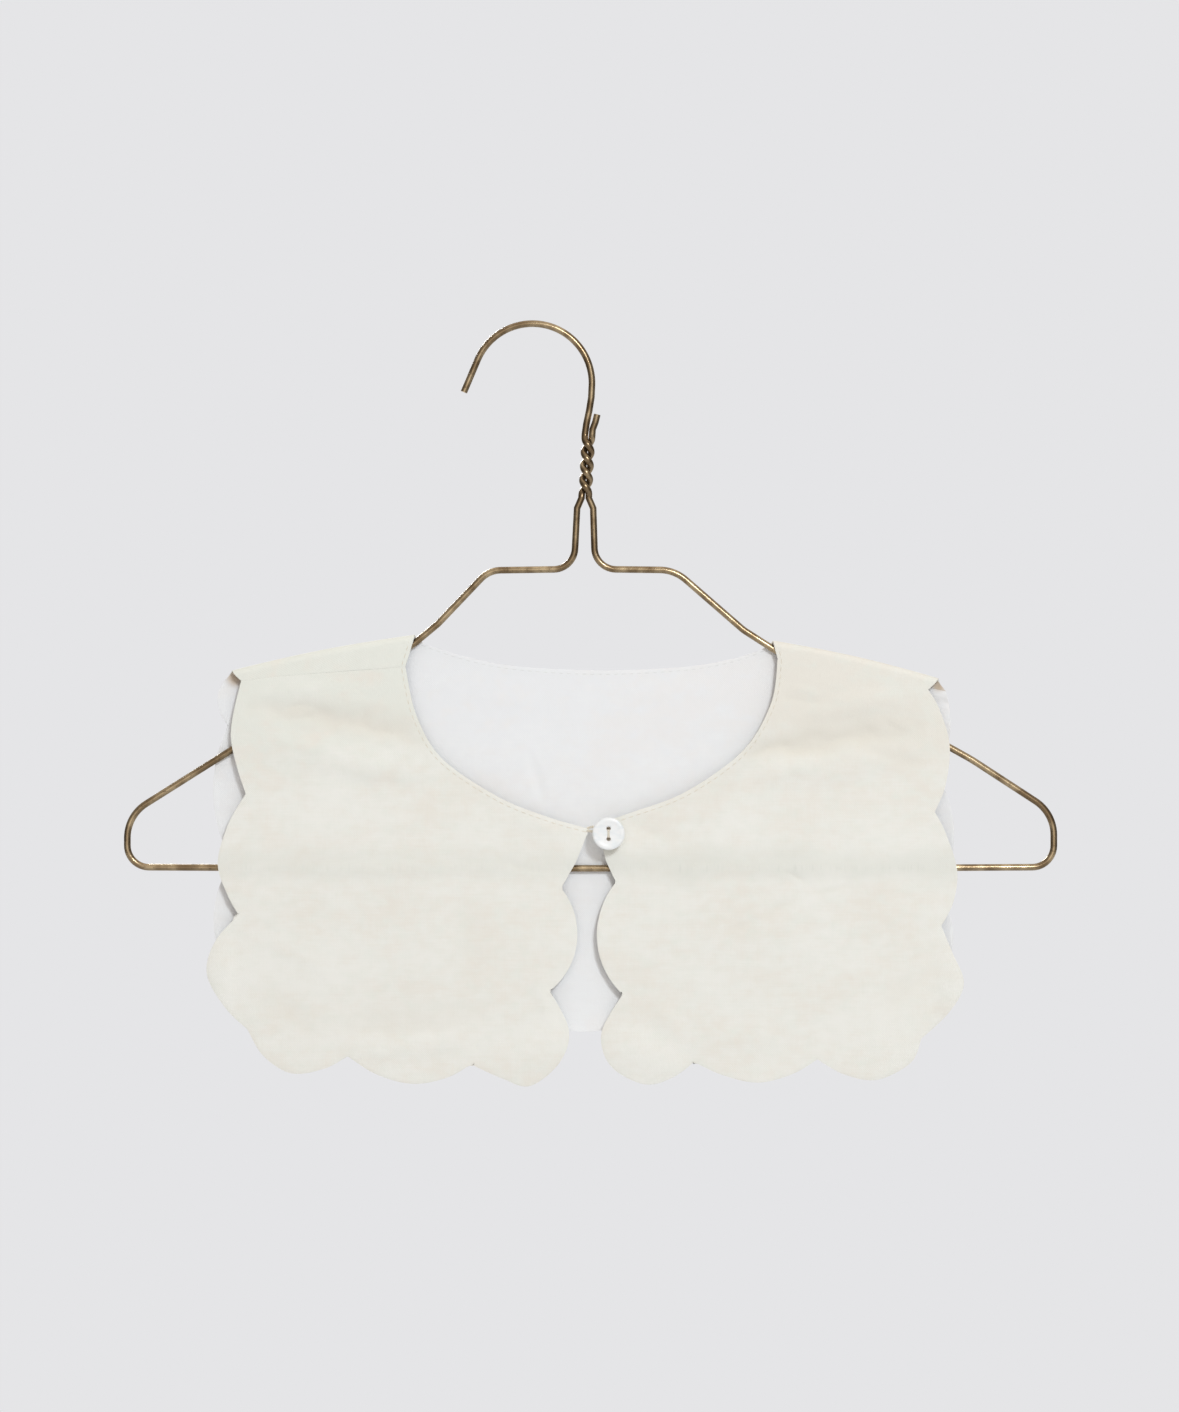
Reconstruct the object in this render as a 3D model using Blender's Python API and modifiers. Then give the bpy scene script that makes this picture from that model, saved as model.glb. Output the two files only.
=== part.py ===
"""A child's scalloped collar with one button, hung on a bent wire hanger.

The origin is the inner top of the hanger's hook. +X is to the right as the collar
is seen from the front, +Z is up, and the front of the collar faces -Y.
"""

from math import asin, atan2, cos, hypot, pi, radians, sin, tan
from typing import NamedTuple

import bmesh
import bpy
from mathutils import Vector

MM = 0.001

# Cloth, in millimetres. The outer cloth and the lining together are one wall.
LINING_WALL = 1.0
SHELL_WALL = 1.0
SEAM_GAP = 0.3
FRONT_WALL = LINING_WALL + SEAM_GAP + SHELL_WALL

# Hanger wire, in millimetres.
WIRE_RADIUS = 1.1
WIRE_CLEARANCE = 0.3
HOOK_RADIUS = 19.2
HOOK_END_ANGLE = radians(157)
HOOK_STEPS = 14
HOOK_TIP_RUN = 11.3
SHANK = ((19.0, -22.6), (18.3, -27.0), (17.4, -31.2))
STUB = ((19.4, -33.0), (20.3, -30.6), (20.9, -28.2))
TWIST_TOP_Z = -34.5
TWIST_BOTTOM_Z = -55.1
TWIST_TOP_X = 18.1
TWIST_BOTTOM_X = 17.0
TWIST_TURNS = 2.0
TWIST_STEPS = 22
TWIST_EASE = 0.13
STRAND_GAP = 0.16
BEND_STEPS = 4

# The fold over the shoulders: the inner face of the cloth bends round the wire with this radius.
FOLD_RADIUS = WIRE_RADIUS + WIRE_CLEARANCE
FOLD_BEND_ANGLES = (0, 30, 60, 90)

# How many steps a front's curve takes from each of its points to the next, how many steps a round
# scallop takes, and how many faces run from the back's neckline to its hem.
FRONT_CURVE_STEPS = 2
FRONT_EDGE_STEPS = 5
BACK_SCALLOP_STEPS = 5
BACK_ROWS = 7
NECKLINE_STEPS = 12

# Below the crease the soft folds grow to their full height over this drop.
SETTLING_DROP = 8.0
# This many lines of a front sway with its front edge.
SWAYING_LINES = 18

# Button and its loop, in millimetres.
BUTTON_RADIUS = 5.2
BUTTON_THICKNESS = 2.3
BUTTON_RIM = 1.3
BUTTON_DISH = 0.5
BUTTON_TURN_STEPS = 32
BUTTON_EDGE = 0.5
BUTTON_BACK_BEVEL = 0.8
BUTTON_HOLE_RADIUS = 0.8
BUTTON_HOLE_SIDES = 12
BUTTON_HOLE_SPACING = 3.3
BUTTON_X = 24.5
BUTTON_Z = -163.0
LOOP_CORD_RADIUS = 0.5
LOOP_EYE_RADIUS = 1.7
LOOP_EYE_STEPS = 8
# Where the loop's two ends leave the left front's corner and reach the button's shank, as (x, z).
LOOP_UPPER_END = ((19.2, -161.3), (19.9, -161.1), (20.8, -161.2))
LOOP_LOWER_END = ((18.3, -163.9), (19.3, -164.4), (20.6, -164.7))


class Scallop(NamedTuple):
    """A scallop of a front: its notch, then three points that its curve passes, as (x, z)."""

    notch: tuple
    rise: tuple
    crown: tuple
    fall: tuple


class RoundScallop(NamedTuple):
    """A scallop of the back: the notch where it starts and the crown of its arc."""

    notch_x: float
    notch_z: float
    crown_x: float
    crown_z: float


class Fold(NamedTuple):
    """One soft fold: its middle, half length, half width, tilt in degrees, and height outwards."""

    x: float
    z: float
    half_length: float
    half_width: float
    tilt: float
    height: float


class Bend(NamedTuple):
    """A corner of the wire before it is rounded, and the radius that rounds it."""

    x: float
    z: float
    radius: float


class Crease(NamedTuple):
    """The top of a shoulder fold on the cloth's inner face, and the ends of the lines beside it.

    Every end is (x, z) in millimetres. The lines beside the crease are where the cloth is flat.
    """

    neck: tuple
    end: tuple
    front_neck: tuple
    front_end: tuple
    back_neck: tuple
    back_end: tuple


class FrontEdge(NamedTuple):
    """The straight edge under the neckline's corner, its scallop, and the lower corner's side."""

    corner: tuple
    bend: tuple
    notch: tuple
    crown: tuple
    low_notch: tuple
    low_side: tuple


# The left shoulder seam is the line on the front, and the right one is the line on the back.
LEFT_CREASE = Crease(
    neck=(-37.9, -99.9),
    end=(-96.6, -111.4),
    front_neck=(-40.8, -109.5),
    front_end=(-93.6, -114.1),
    back_neck=(-34.6, -102.2),
    back_end=(-99.5, -113.9),
)
RIGHT_CREASE = Crease(
    neck=(77.5, -101.8),
    end=(130.6, -113.9),
    front_neck=(78.9, -107.0),
    front_end=(127.3, -117.0),
    back_neck=(73.9, -103.9),
    back_end=(133.4, -117.4),
)

# Scallops from the shoulder down the side and along the hem to the front corner.
FRONT_LEFT_SCALLOPS = (
    Scallop(LEFT_CREASE.front_end, (-96.0, -124.0), (-96.9, -132.4), (-94.9, -142.0)),
    Scallop((-92.1, -150.4), (-97.7, -160.0), (-101.1, -172.5), (-98.1, -182.5)),
    Scallop((-94.3, -189.4), (-101.6, -197.3), (-104.5, -207.9), (-99.0, -218.8)),
    Scallop((-91.5, -226.2), (-86.5, -234.6), (-77.5, -240.2), (-66.9, -238.7)),
    Scallop((-59.4, -234.7), (-50.2, -240.5), (-38.5, -243.6), (-27.4, -241.6)),
    Scallop((-19.8, -237.3), (-9.7, -241.8), (-0.7, -244.2), (8.9, -236.5)),
)
FRONT_LEFT_EDGE = FrontEdge(
    corner=(18.4, -161.6),
    bend=(13.9, -172.6),
    notch=(9.3, -180.7),
    crown=(14.4, -197.6),
    low_notch=(5.7, -213.7),
    low_side=(11.7, -226.2),
)
FRONT_LEFT_NECK = (
    (-37.2, -125.3),
    (-28.8, -139.2),
    (-10.8, -151.4),
    (5.3, -157.9),
)

FRONT_RIGHT_SCALLOPS = (
    Scallop(RIGHT_CREASE.front_end, (130.8, -122.9), (134.2, -134.6), (132.9, -147.5)),
    Scallop((129.4, -156.2), (132.9, -162.9), (136.6, -174.8), (135.4, -185.1)),
    Scallop((131.5, -192.9), (135.2, -201.8), (138.6, -211.4), (133.9, -220.7)),
    Scallop((125.1, -229.1), (121.7, -236.8), (110.8, -242.3), (100.2, -240.5)),
    Scallop((91.7, -235.7), (83.5, -240.5), (72.5, -243.2), (61.0, -240.7)),
    Scallop((52.1, -236.5), (44.9, -241.6), (35.9, -243.6), (25.3, -237.8)),
)
FRONT_RIGHT_EDGE = FrontEdge(
    corner=(20.8, -160.2),
    bend=(23.6, -171.6),
    notch=(26.9, -178.8),
    crown=(20.8, -195.7),
    low_notch=(29.0, -214.8),
    low_side=(22.3, -227.2),
)
FRONT_RIGHT_NECK = (
    (76.8, -121.1),
    (67.5, -136.6),
    (49.1, -149.8),
    (28.8, -157.4),
)

# The back, from the left shoulder round its hem to the right shoulder.
BACK_SIDE_LEFT = (
    RoundScallop(*LEFT_CREASE.back_end, -101.5, -119.0),
    RoundScallop(-98.1, -128.4, -102.9, -153.0),
    RoundScallop(-96.8, -172.4, -102.9, -191.7),
    RoundScallop(-96.8, -209.8, -92.6, -220.3),
)
BACK_HEM_NOTCH_Z = -222.3
BACK_HEM_CROWN_Z = -227.2
BACK_HEM_LEFT_X = -78.1
BACK_HEM_RIGHT_X = 111.3
BACK_HEM_SCALLOPS = 5
BACK_SIDE_RIGHT = (
    RoundScallop(BACK_HEM_RIGHT_X, BACK_HEM_NOTCH_Z, 126.5, -221.6),
    RoundScallop(130.7, -212.0, 135.8, -196.9),
    RoundScallop(131.3, -182.4, 136.1, -163.7),
    RoundScallop(130.7, -144.3, 134.8, -130.2),
)
BACK_NECK = (
    (-21.1, -106.3),
    (-5.6, -109.2),
    (21.4, -110.6),
    (48.5, -109.5),
    (64.0, -107.0),
)

# The largest folds. Heights are outwards, away from the wire, so a trough is negative.
FRONT_FOLDS = (
    Fold(-60.0, -182.0, 56.0, 48.0, 0.0, 0.8),
    Fold(82.0, -182.0, 54.0, 48.0, 0.0, 0.8),
    Fold(-68.0, -119.5, 27.0, 5.0, -9.0, 0.5),
    Fold(-62.0, -139.0, 36.0, 8.0, -8.0, 0.7),
    Fold(104.0, -121.5, 25.0, 5.0, 10.0, 0.5),
    Fold(98.0, -141.0, 32.0, 8.0, 10.0, 0.7),
    Fold(-45.0, -174.5, 48.0, 3.5, 0.0, 0.3),
    Fold(82.0, -174.5, 48.0, 3.5, 0.0, 0.3),
    Fold(70.0, -132.0, 24.0, 7.0, 58.0, 1.0),
    Fold(-101.0, -208.0, 18.0, 7.0, 90.0, 0.8),
    Fold(135.0, -213.0, 18.0, 7.0, 90.0, 0.8),
    Fold(2.0, -234.0, 18.0, 10.0, 20.0, 0.7),
    Fold(34.0, -234.0, 18.0, 10.0, -20.0, 0.9),
)
BACK_FOLDS = (
    Fold(18.0, -172.0, 80.0, 40.0, 0.0, 0.8),
    Fold(1.5, -145.0, 12.0, 3.0, -75.0, 0.4),
    Fold(-98.0, -153.0, 16.0, 7.0, 90.0, 0.7),
    Fold(132.0, -164.0, 16.0, 7.0, 90.0, 0.7),
    Fold(-52.0, -205.0, 30.0, 12.0, 18.0, 0.5),
    Fold(86.0, -200.0, 30.0, 12.0, -24.0, 0.5),
)

# Corners of the wire from the foot of the twist, round the left arm and along the bottom bar,
# and from there round the right arm, back up to the twist. Radius 0 is a slight, sharp bend.
LEFT_BENDS = (
    Bend(14.4, -58.4, 0.0),
    Bend(13.4, -78.0, 7.0),
    Bend(-14.0, -78.4, 9.0),
    Bend(-30.4, -95.6, 14.0),
    Bend(-38.1, -102.0, 5.0),
    Bend(-97.5, -136.6, 60.0),
    Bend(-130.5, -157.4, 13.0),
    Bend(-130.5, -174.0, 7.0),
    Bend(-62.0, -174.4, 0.0),
)
RIGHT_BENDS = (
    Bend(100.0, -174.4, 0.0),
    Bend(168.0, -174.0, 7.0),
    Bend(168.0, -156.6, 13.0),
    Bend(141.6, -139.4, 60.0),
    Bend(77.5, -103.7, 5.0),
    Bend(68.0, -97.6, 12.0),
    Bend(45.8, -78.3, 13.0),
    Bend(20.2, -78.0, 7.0),
    Bend(19.6, -58.4, 0.0),
)

CREAM = (0.82, 0.79, 0.74)
WHITE = (0.84, 0.84, 0.84)
BRONZE = (0.20, 0.14, 0.09)
PEARL = (0.85, 0.85, 0.84)


# Scene and materials

def clear_scene():
    for item in list(bpy.data.objects):
        bpy.data.objects.remove(item, do_unlink=True)
    for group in list(bpy.data.collections):
        bpy.data.collections.remove(group)


def new_collection(name):
    group = bpy.data.collections.new(name)
    bpy.context.scene.collection.children.link(group)
    return group


def finish(name, colour, roughness, metallic=0.0):
    material = bpy.data.materials.new(name)
    material.use_nodes = True
    shader = material.node_tree.nodes["Principled BSDF"]
    shader.inputs["Base Color"].default_value = (*colour, 1.0)
    shader.inputs["Roughness"].default_value = roughness
    shader.inputs["Metallic"].default_value = metallic
    material.diffuse_color = (*colour, 1.0)
    return material


def add_object(name, data, group, material):
    item = bpy.data.objects.new(name, data)
    item.data.materials.append(material)
    group.objects.link(item)
    return item


# Outlines in the front view, as (x, z) in millimetres

def arc_through(start, crown, end, steps):
    """Points on the circle through three points, without the last one."""
    (ax, az), (bx, bz), (cx, cz) = start, crown, end
    doubled = 2 * (ax * (bz - cz) + bx * (cz - az) + cx * (az - bz))
    a2, b2, c2 = ax * ax + az * az, bx * bx + bz * bz, cx * cx + cz * cz
    centre_x = (a2 * (bz - cz) + b2 * (cz - az) + c2 * (az - bz)) / doubled
    centre_z = (a2 * (cx - bx) + b2 * (ax - cx) + c2 * (bx - ax)) / doubled
    radius = hypot(ax - centre_x, az - centre_z)
    first = atan2(az - centre_z, ax - centre_x)
    sweep = (atan2(cz - centre_z, cx - centre_x) - first) % (2 * pi)
    middle = (atan2(bz - centre_z, bx - centre_x) - first) % (2 * pi)
    if middle > sweep:
        sweep -= 2 * pi
    angles = [first + sweep * step / steps for step in range(steps)]
    return [(centre_x + radius * cos(a), centre_z + radius * sin(a)) for a in angles]


def smooth_curve(points, steps):
    """A smooth curve through a few points, with so many steps from each of them to the next."""
    padded = [points[0], *points, points[-1]]
    curve = []
    for number in range(len(points) - 1):
        before, start, end, after = padded[number:number + 4]
        for step in range(steps):
            t = step / steps
            curve.append(tuple(
                0.5 * (2 * s + (e - b) * t + (2 * b - 5 * s + 4 * e - a) * t * t
                       + (3 * s - b - 3 * e + a) * t ** 3)
                for b, s, e, a in zip(before, start, end, after)
            ))
    return [*curve, points[-1]]


def front_outline(scallops, edge):
    """A front's scalloped edge and its front edge, which meet at the lower corner's crown."""
    *whole, corner = scallops
    outer = []
    for row, following in zip(whole, scallops[1:]):
        outer += smooth_curve((*row, following.notch), FRONT_CURVE_STEPS)[:-1]
    low = smooth_curve((*corner, edge.low_side, edge.low_notch), FRONT_CURVE_STEPS)
    crown = FRONT_CURVE_STEPS * corner.index(corner.crown)
    halfway = tuple((a + b) / 2 for a, b in zip(edge.corner, edge.bend))
    upper = arc_through(edge.notch, edge.crown, edge.low_notch, FRONT_EDGE_STEPS)
    opening = [edge.corner, halfway, edge.bend, *upper, *reversed(low[crown:])]
    return [*outer, *low[:crown + 1]], opening


def back_scallops():
    """Every scallop of the back, with the equal ones along the hem worked out."""
    pitch = (BACK_HEM_RIGHT_X - BACK_HEM_LEFT_X) / BACK_HEM_SCALLOPS
    hem = [
        RoundScallop(
            BACK_HEM_LEFT_X + pitch * number,
            BACK_HEM_NOTCH_Z,
            BACK_HEM_LEFT_X + pitch * (number + 0.5),
            BACK_HEM_CROWN_Z,
        )
        for number in range(BACK_HEM_SCALLOPS)
    ]
    return (*BACK_SIDE_LEFT, *hem, *BACK_SIDE_RIGHT)


def smooth_line(points, fractions):
    """Points at fractions of the length of a smooth curve through a few points."""
    return points_along(smooth_curve(points, NECKLINE_STEPS), fractions)


def lengths_along(points):
    """The distance from the first point to each point, as a fraction of the whole."""
    reached = [0.0]
    for (ax, az), (bx, bz) in zip(points, points[1:]):
        reached.append(reached[-1] + hypot(bx - ax, bz - az))
    return [value / reached[-1] for value in reached]


def points_along(points, fractions):
    reached = lengths_along(points)
    found = []
    segment = 0
    for fraction in fractions:
        while segment < len(points) - 2 and reached[segment + 1] < fraction:
            segment += 1
        part = (fraction - reached[segment]) / (reached[segment + 1] - reached[segment])
        found.append(tuple(
            a + (b - a) * part for a, b in zip(points[segment], points[segment + 1])
        ))
    return found


# The shoulder fold

def crease_height(crease, x):
    """The crease's height at x. It runs on straight past both of its ends."""
    part = (x - crease.neck[0]) / (crease.end[0] - crease.neck[0])
    return crease.neck[1] + (crease.end[1] - crease.neck[1]) * part


def crease_up(crease):
    """The direction square to the crease, upwards in the front view."""
    run_x, run_z = crease.end[0] - crease.neck[0], crease.end[1] - crease.neck[1]
    length = hypot(run_x, run_z)
    return (-run_z / length, run_x / length) if run_x > 0 else (run_z / length, -run_x / length)


def drop_below(crease, x, z):
    return max(0.0, (crease_height(crease, x) - z) * crease_up(crease)[1])


def bend_angle(drop):
    """How far round the fold a point on the inner face is: 0 at its top, a right angle once flat."""
    if drop >= FOLD_RADIUS:
        return pi / 2
    return pi / 2 - asin(1 - drop / FOLD_RADIUS)


def fold_height(folds, x, z):
    """How far the soft folds lift the cloth outwards at a point of the front view."""
    height = 0.0
    for fold in folds:
        turn = radians(fold.tilt)
        across = (x - fold.x) * -sin(turn) + (z - fold.z) * cos(turn)
        along = (x - fold.x) * cos(turn) + (z - fold.z) * sin(turn)
        distance = hypot(along / fold.half_length, across / fold.half_width)
        if distance < 1:
            height += fold.height * (1 - distance * distance) ** 2
    return height


def cloth_point(x, z, side, offset):
    """A point of the cloth: side is -1 on the front and +1 on the back."""
    folds = FRONT_FOLDS if side < 0 else BACK_FOLDS
    crease = min((LEFT_CREASE, RIGHT_CREASE), key=lambda fold: drop_below(fold, x, z))
    drop = drop_below(crease, x, z)
    angle = bend_angle(drop)
    up_x, up_z = crease_up(crease)
    lift = offset * cos(angle)
    settled = min(1.0, max(0.0, (drop - FOLD_RADIUS) / SETTLING_DROP))
    depth = (FOLD_RADIUS + offset) * sin(angle) + fold_height(folds, x, z) * settled
    return Vector((x + up_x * lift, side * depth, z + up_z * lift)) * MM


# Cloth panels

class Line(NamedTuple):
    """A line of a panel from its neckline to its outer edge, on the front or on the back."""

    points: list
    side: int


def between(start, end, part):
    return tuple(a + (b - a) * part for a, b in zip(start, end))


def line_beside(crease, side, drop, shares):
    """A line along the shoulder fold, at a drop below its crease."""
    beside = (crease.front_neck, crease.front_end)
    if side > 0:
        beside = (crease.back_neck, crease.back_end)
    ends = []
    for top, flat_end in zip((crease.neck, crease.end), beside):
        ends.append(between(top, flat_end, drop / drop_below(crease, *flat_end)))
    return Line([between(*ends, share) for share in shares], side)


def fold_lines(crease, seam_side, shares):
    """Lines from near the seam, up over the crease and down to where the cloth is flat."""
    drops = [FOLD_RADIUS * (1 - cos(radians(angle))) for angle in FOLD_BEND_ANGLES]
    up = [line_beside(crease, seam_side, drop, shares) for drop in reversed(drops[1:])]
    down = [line_beside(crease, -seam_side, drop, shares) for drop in drops]
    return up + down


def fan_lines(inner_points, outer_points, side, shares, edge_points=()):
    """Lines that fan out from the neckline to each point of the outer edge.

    Near the front edge they sway as it does, and less so the further they are from it.
    """
    inner = smooth_line(inner_points, lengths_along(outer_points))
    sways = [(0.0, 0.0) for share in shares]
    if edge_points:
        chord = [between(edge_points[0], edge_points[-1], share) for share in shares]
        sways = [(a - c, b - d) for (a, b), (c, d) in zip(edge_points, chord)]
    lines = []
    for number, (near, far) in enumerate(zip(inner, outer_points)):
        from_edge = len(outer_points) - 1 - number
        strength = max(0.0, 1 - from_edge / SWAYING_LINES) ** 2
        points = []
        for share, (sway_x, sway_z) in zip(shares, sways):
            x, z = between(near, far, share)
            points.append((x + sway_x * strength, z + sway_z * strength))
        lines.append(Line(points, side))
    return lines


def panel_sheet(lines, offset):
    """The open surface of a panel, as a grid of its lines, moved out by an offset."""
    sheet = bmesh.new()
    grid = [
        [sheet.verts.new(cloth_point(x, z, line.side, offset)) for x, z in line.points]
        for line in lines
    ]
    for first, second in zip(grid, grid[1:]):
        for row in range(len(first) - 1):
            sheet.faces.new((first[row], first[row + 1], second[row + 1], second[row]))
    sheet.normal_update()
    facing = sum(face.calc_area() * face.normal.y for face in sheet.faces)
    if facing * sum(line.side for line in lines) < 0:
        bmesh.ops.reverse_faces(sheet, faces=sheet.faces)
    return sheet


def panel(name, group, material, lines, offset, wall):
    """One cloth panel: an open sheet that Solidify gives its wall, outwards from the wire."""
    sheet = panel_sheet(lines, offset)
    mesh = bpy.data.meshes.new(name)
    sheet.to_mesh(mesh)
    sheet.free()
    mesh.shade_smooth()
    item = add_object(name, mesh, group, material)
    solidify = item.modifiers.new("wall", "SOLIDIFY")
    solidify.thickness = wall * MM
    solidify.offset = 1.0
    return item


def lowered(point, drop):
    return point[0], point[1] - drop


def back_lines():
    """The back wraps over the left crease to a seam on the front, and stops at the right one."""
    shares = [row / BACK_ROWS for row in range(BACK_ROWS + 1)]
    scallops = back_scallops()
    notches = [*(row[:2] for row in scallops), RIGHT_CREASE.back_end]
    edge = []
    for row, following in zip(scallops, notches[1:]):
        edge += arc_through(row[:2], row[2:], following, BACK_SCALLOP_STEPS)
    edge.append(notches[-1])
    neck = (LEFT_CREASE.back_neck, *BACK_NECK, RIGHT_CREASE.back_neck)
    seam = Line(
        [between(LEFT_CREASE.front_neck, LEFT_CREASE.front_end, share) for share in shares],
        -1,
    )
    return [seam, *fold_lines(LEFT_CREASE, -1, shares), *fan_lines(neck, edge, 1, shares)]


def front_left_lines():
    """The left front starts a seam's gap below the back's edge."""
    outer, edge_points = front_outline(FRONT_LEFT_SCALLOPS, FRONT_LEFT_EDGE)
    outer[0] = lowered(outer[0], SEAM_GAP)
    neck = (
        lowered(LEFT_CREASE.front_neck, SEAM_GAP),
        *FRONT_LEFT_NECK,
        FRONT_LEFT_EDGE.corner,
    )
    return fan_lines(neck, outer, -1, lengths_along(edge_points), edge_points)


def front_right_lines():
    """The right front wraps over its crease to a seam on the back."""
    outer, edge_points = front_outline(FRONT_RIGHT_SCALLOPS, FRONT_RIGHT_EDGE)
    shares = lengths_along(edge_points)
    neck = (RIGHT_CREASE.front_neck, *FRONT_RIGHT_NECK, FRONT_RIGHT_EDGE.corner)
    seam_ends = (
        lowered(RIGHT_CREASE.back_neck, -SEAM_GAP),
        lowered(RIGHT_CREASE.back_end, -SEAM_GAP),
    )
    seam = Line([between(*seam_ends, share) for share in shares], 1)
    fan = fan_lines(neck, outer, -1, shares, edge_points)
    return [seam, *fold_lines(RIGHT_CREASE, 1, shares), *fan]


# The hanger

def rounded(corners):
    """The wire's middle line, with an arc of the given radius at each inner corner."""
    points = [corners[0][:2]]
    for before, corner, after in zip(corners, corners[1:], corners[2:]):
        here = Vector(corner[:2])
        back = (Vector(before[:2]) - here).normalized()
        ahead = (Vector(after[:2]) - here).normalized()
        half_turn = (pi - back.angle(ahead)) / 2
        reach = corner.radius * tan(half_turn)
        if corner.radius == 0:
            points.append(tuple(here))
            continue
        first = here + back * reach
        last = here + ahead * reach
        middle = here + (back + ahead).normalized() * corner.radius * (1 / cos(half_turn) - 1)
        points += arc_through(tuple(first), tuple(middle), tuple(last), BEND_STEPS)
        points.append(tuple(last))
    points.append(corners[-1][:2])
    return points


def eased(part):
    """The share of the turns reached at a part of the twist, slower at both of its ends."""
    steady = 1 - TWIST_EASE
    if part < TWIST_EASE:
        return part * part / (2 * TWIST_EASE * steady)
    if part > 1 - TWIST_EASE:
        return 1 - (1 - part) ** 2 / (2 * TWIST_EASE * steady)
    return (part - TWIST_EASE / 2) / steady


def twist_points(start_angle):
    """One strand of the twist, from its top to its bottom. In front it runs down to the right."""
    radius = WIRE_RADIUS + STRAND_GAP / 2
    points = []
    for step in range(TWIST_STEPS + 1):
        part = step / TWIST_STEPS
        angle = start_angle - 2 * pi * TWIST_TURNS * eased(part)
        middle = TWIST_TOP_X + (TWIST_BOTTOM_X - TWIST_TOP_X) * part
        height = TWIST_TOP_Z + (TWIST_BOTTOM_Z - TWIST_TOP_Z) * part
        points.append((middle + radius * cos(angle), -radius * sin(angle), height))
    return points


def flat(points):
    return [(x, 0.0, z) for x, z in points]


def hook_points():
    """From the hook's tip, up and over its arc, and down to the twist."""
    middle_z = WIRE_RADIUS - HOOK_RADIUS
    turns = [HOOK_END_ANGLE * (1 - step / HOOK_STEPS) for step in range(HOOK_STEPS + 1)]
    arc = [(HOOK_RADIUS * cos(turn), middle_z + HOOK_RADIUS * sin(turn)) for turn in turns]
    tip_x = arc[0][0] - HOOK_TIP_RUN * sin(HOOK_END_ANGLE)
    tip_z = arc[0][1] + HOOK_TIP_RUN * cos(HOOK_END_ANGLE)
    return flat([(tip_x, tip_z), *arc, *SHANK])


def stub_points():
    """The cut end of the wire, which stands beside the hook's shank."""
    return flat(STUB)


def hanger_wire(group, material):
    """One length of wire: hook, twist, right arm, bottom bar, left arm, twist and stub."""
    first_strand = twist_points(pi)
    second_strand = twist_points(0.0)
    left_foot = first_strand[-1]
    right_foot = second_strand[-1]
    corners = [
        Bend(left_foot[0], left_foot[2], 0.0),
        *LEFT_BENDS,
        *RIGHT_BENDS,
        Bend(right_foot[0], right_foot[2], 0.0),
    ]
    loop = flat(rounded(corners)[1:-1])
    path = [*hook_points(), *first_strand, *loop, *reversed(second_strand), *stub_points()]
    curve = bpy.data.curves.new("hanger_wire", "CURVE")
    curve.dimensions = "3D"
    curve.bevel_depth = WIRE_RADIUS * MM
    curve.bevel_resolution = 2
    curve.use_fill_caps = True
    curve.twist_smooth = 0.0
    spline = curve.splines.new("POLY")
    spline.points.add(len(path) - 1)
    for point, place in zip(spline.points, path):
        point.co = (*(Vector(place) * MM), 1.0)
    return add_object("hanger_wire", curve, group, material)


# Button and loop

def button(group, cutters, material):
    """A turned button with a rim, a shallow dish and two holes, one above the other."""
    seat_y = FOLD_RADIUS + FRONT_WALL + SEAM_GAP + 2 * LOOP_CORD_RADIUS + SEAM_GAP + BUTTON_SEAT
    front, back = BUTTON_THICKNESS, 0.0
    profile = (
        (0.0, front - BUTTON_DISH),
        (BUTTON_RADIUS - 2 * BUTTON_RIM, front - BUTTON_DISH),
        (BUTTON_RADIUS - BUTTON_RIM, front),
        (BUTTON_RADIUS - BUTTON_EDGE, front),
        (BUTTON_RADIUS, front - BUTTON_EDGE),
        (BUTTON_RADIUS, back + BUTTON_BACK_BEVEL),
        (BUTTON_RADIUS - BUTTON_BACK_BEVEL, back),
        (0.0, back),
    )
    shape = bmesh.new()
    points = [shape.verts.new((radius * MM, 0.0, height * MM)) for radius, height in profile]
    for start, end in zip(points, points[1:]):
        shape.edges.new((start, end))
    mesh = bpy.data.meshes.new("button")
    shape.to_mesh(mesh)
    shape.free()
    item = add_object("button", mesh, group, material)
    item.rotation_euler = (pi / 2, 0.0, 0.0)
    item.location = Vector((BUTTON_X, -seat_y, BUTTON_Z)) * MM
    turned = item.modifiers.new("turned", "SCREW")
    turned.angle = 2 * pi
    turned.steps = BUTTON_TURN_STEPS
    turned.render_steps = BUTTON_TURN_STEPS
    turned.use_merge_vertices = True
    turned.merge_threshold = 0.00001
    turned.use_smooth_shade = True
    for place in (-0.5, 0.5):
        drill = bmesh.new()
        bmesh.ops.create_cone(
            drill,
            cap_ends=True,
            segments=BUTTON_HOLE_SIDES,
            radius1=BUTTON_HOLE_RADIUS * MM,
            radius2=BUTTON_HOLE_RADIUS * MM,
            depth=4 * BUTTON_THICKNESS * MM,
        )
        drill_mesh = bpy.data.meshes.new("button_hole")
        drill.to_mesh(drill_mesh)
        drill.free()
        cutter = bpy.data.objects.new("button_hole", drill_mesh)
        cutters.objects.link(cutter)
        cutter.hide_render = True
        cutter.display_type = "WIRE"
        cutter.rotation_euler = (pi / 2, 0.0, 0.0)
        hole_z = BUTTON_Z + place * BUTTON_HOLE_SPACING
        cutter.location = Vector((BUTTON_X, -seat_y, hole_z)) * MM
        cut = item.modifiers.new("hole", "BOOLEAN")
        cut.operation = "DIFFERENCE"
        cut.object = cutter
    return item


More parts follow.
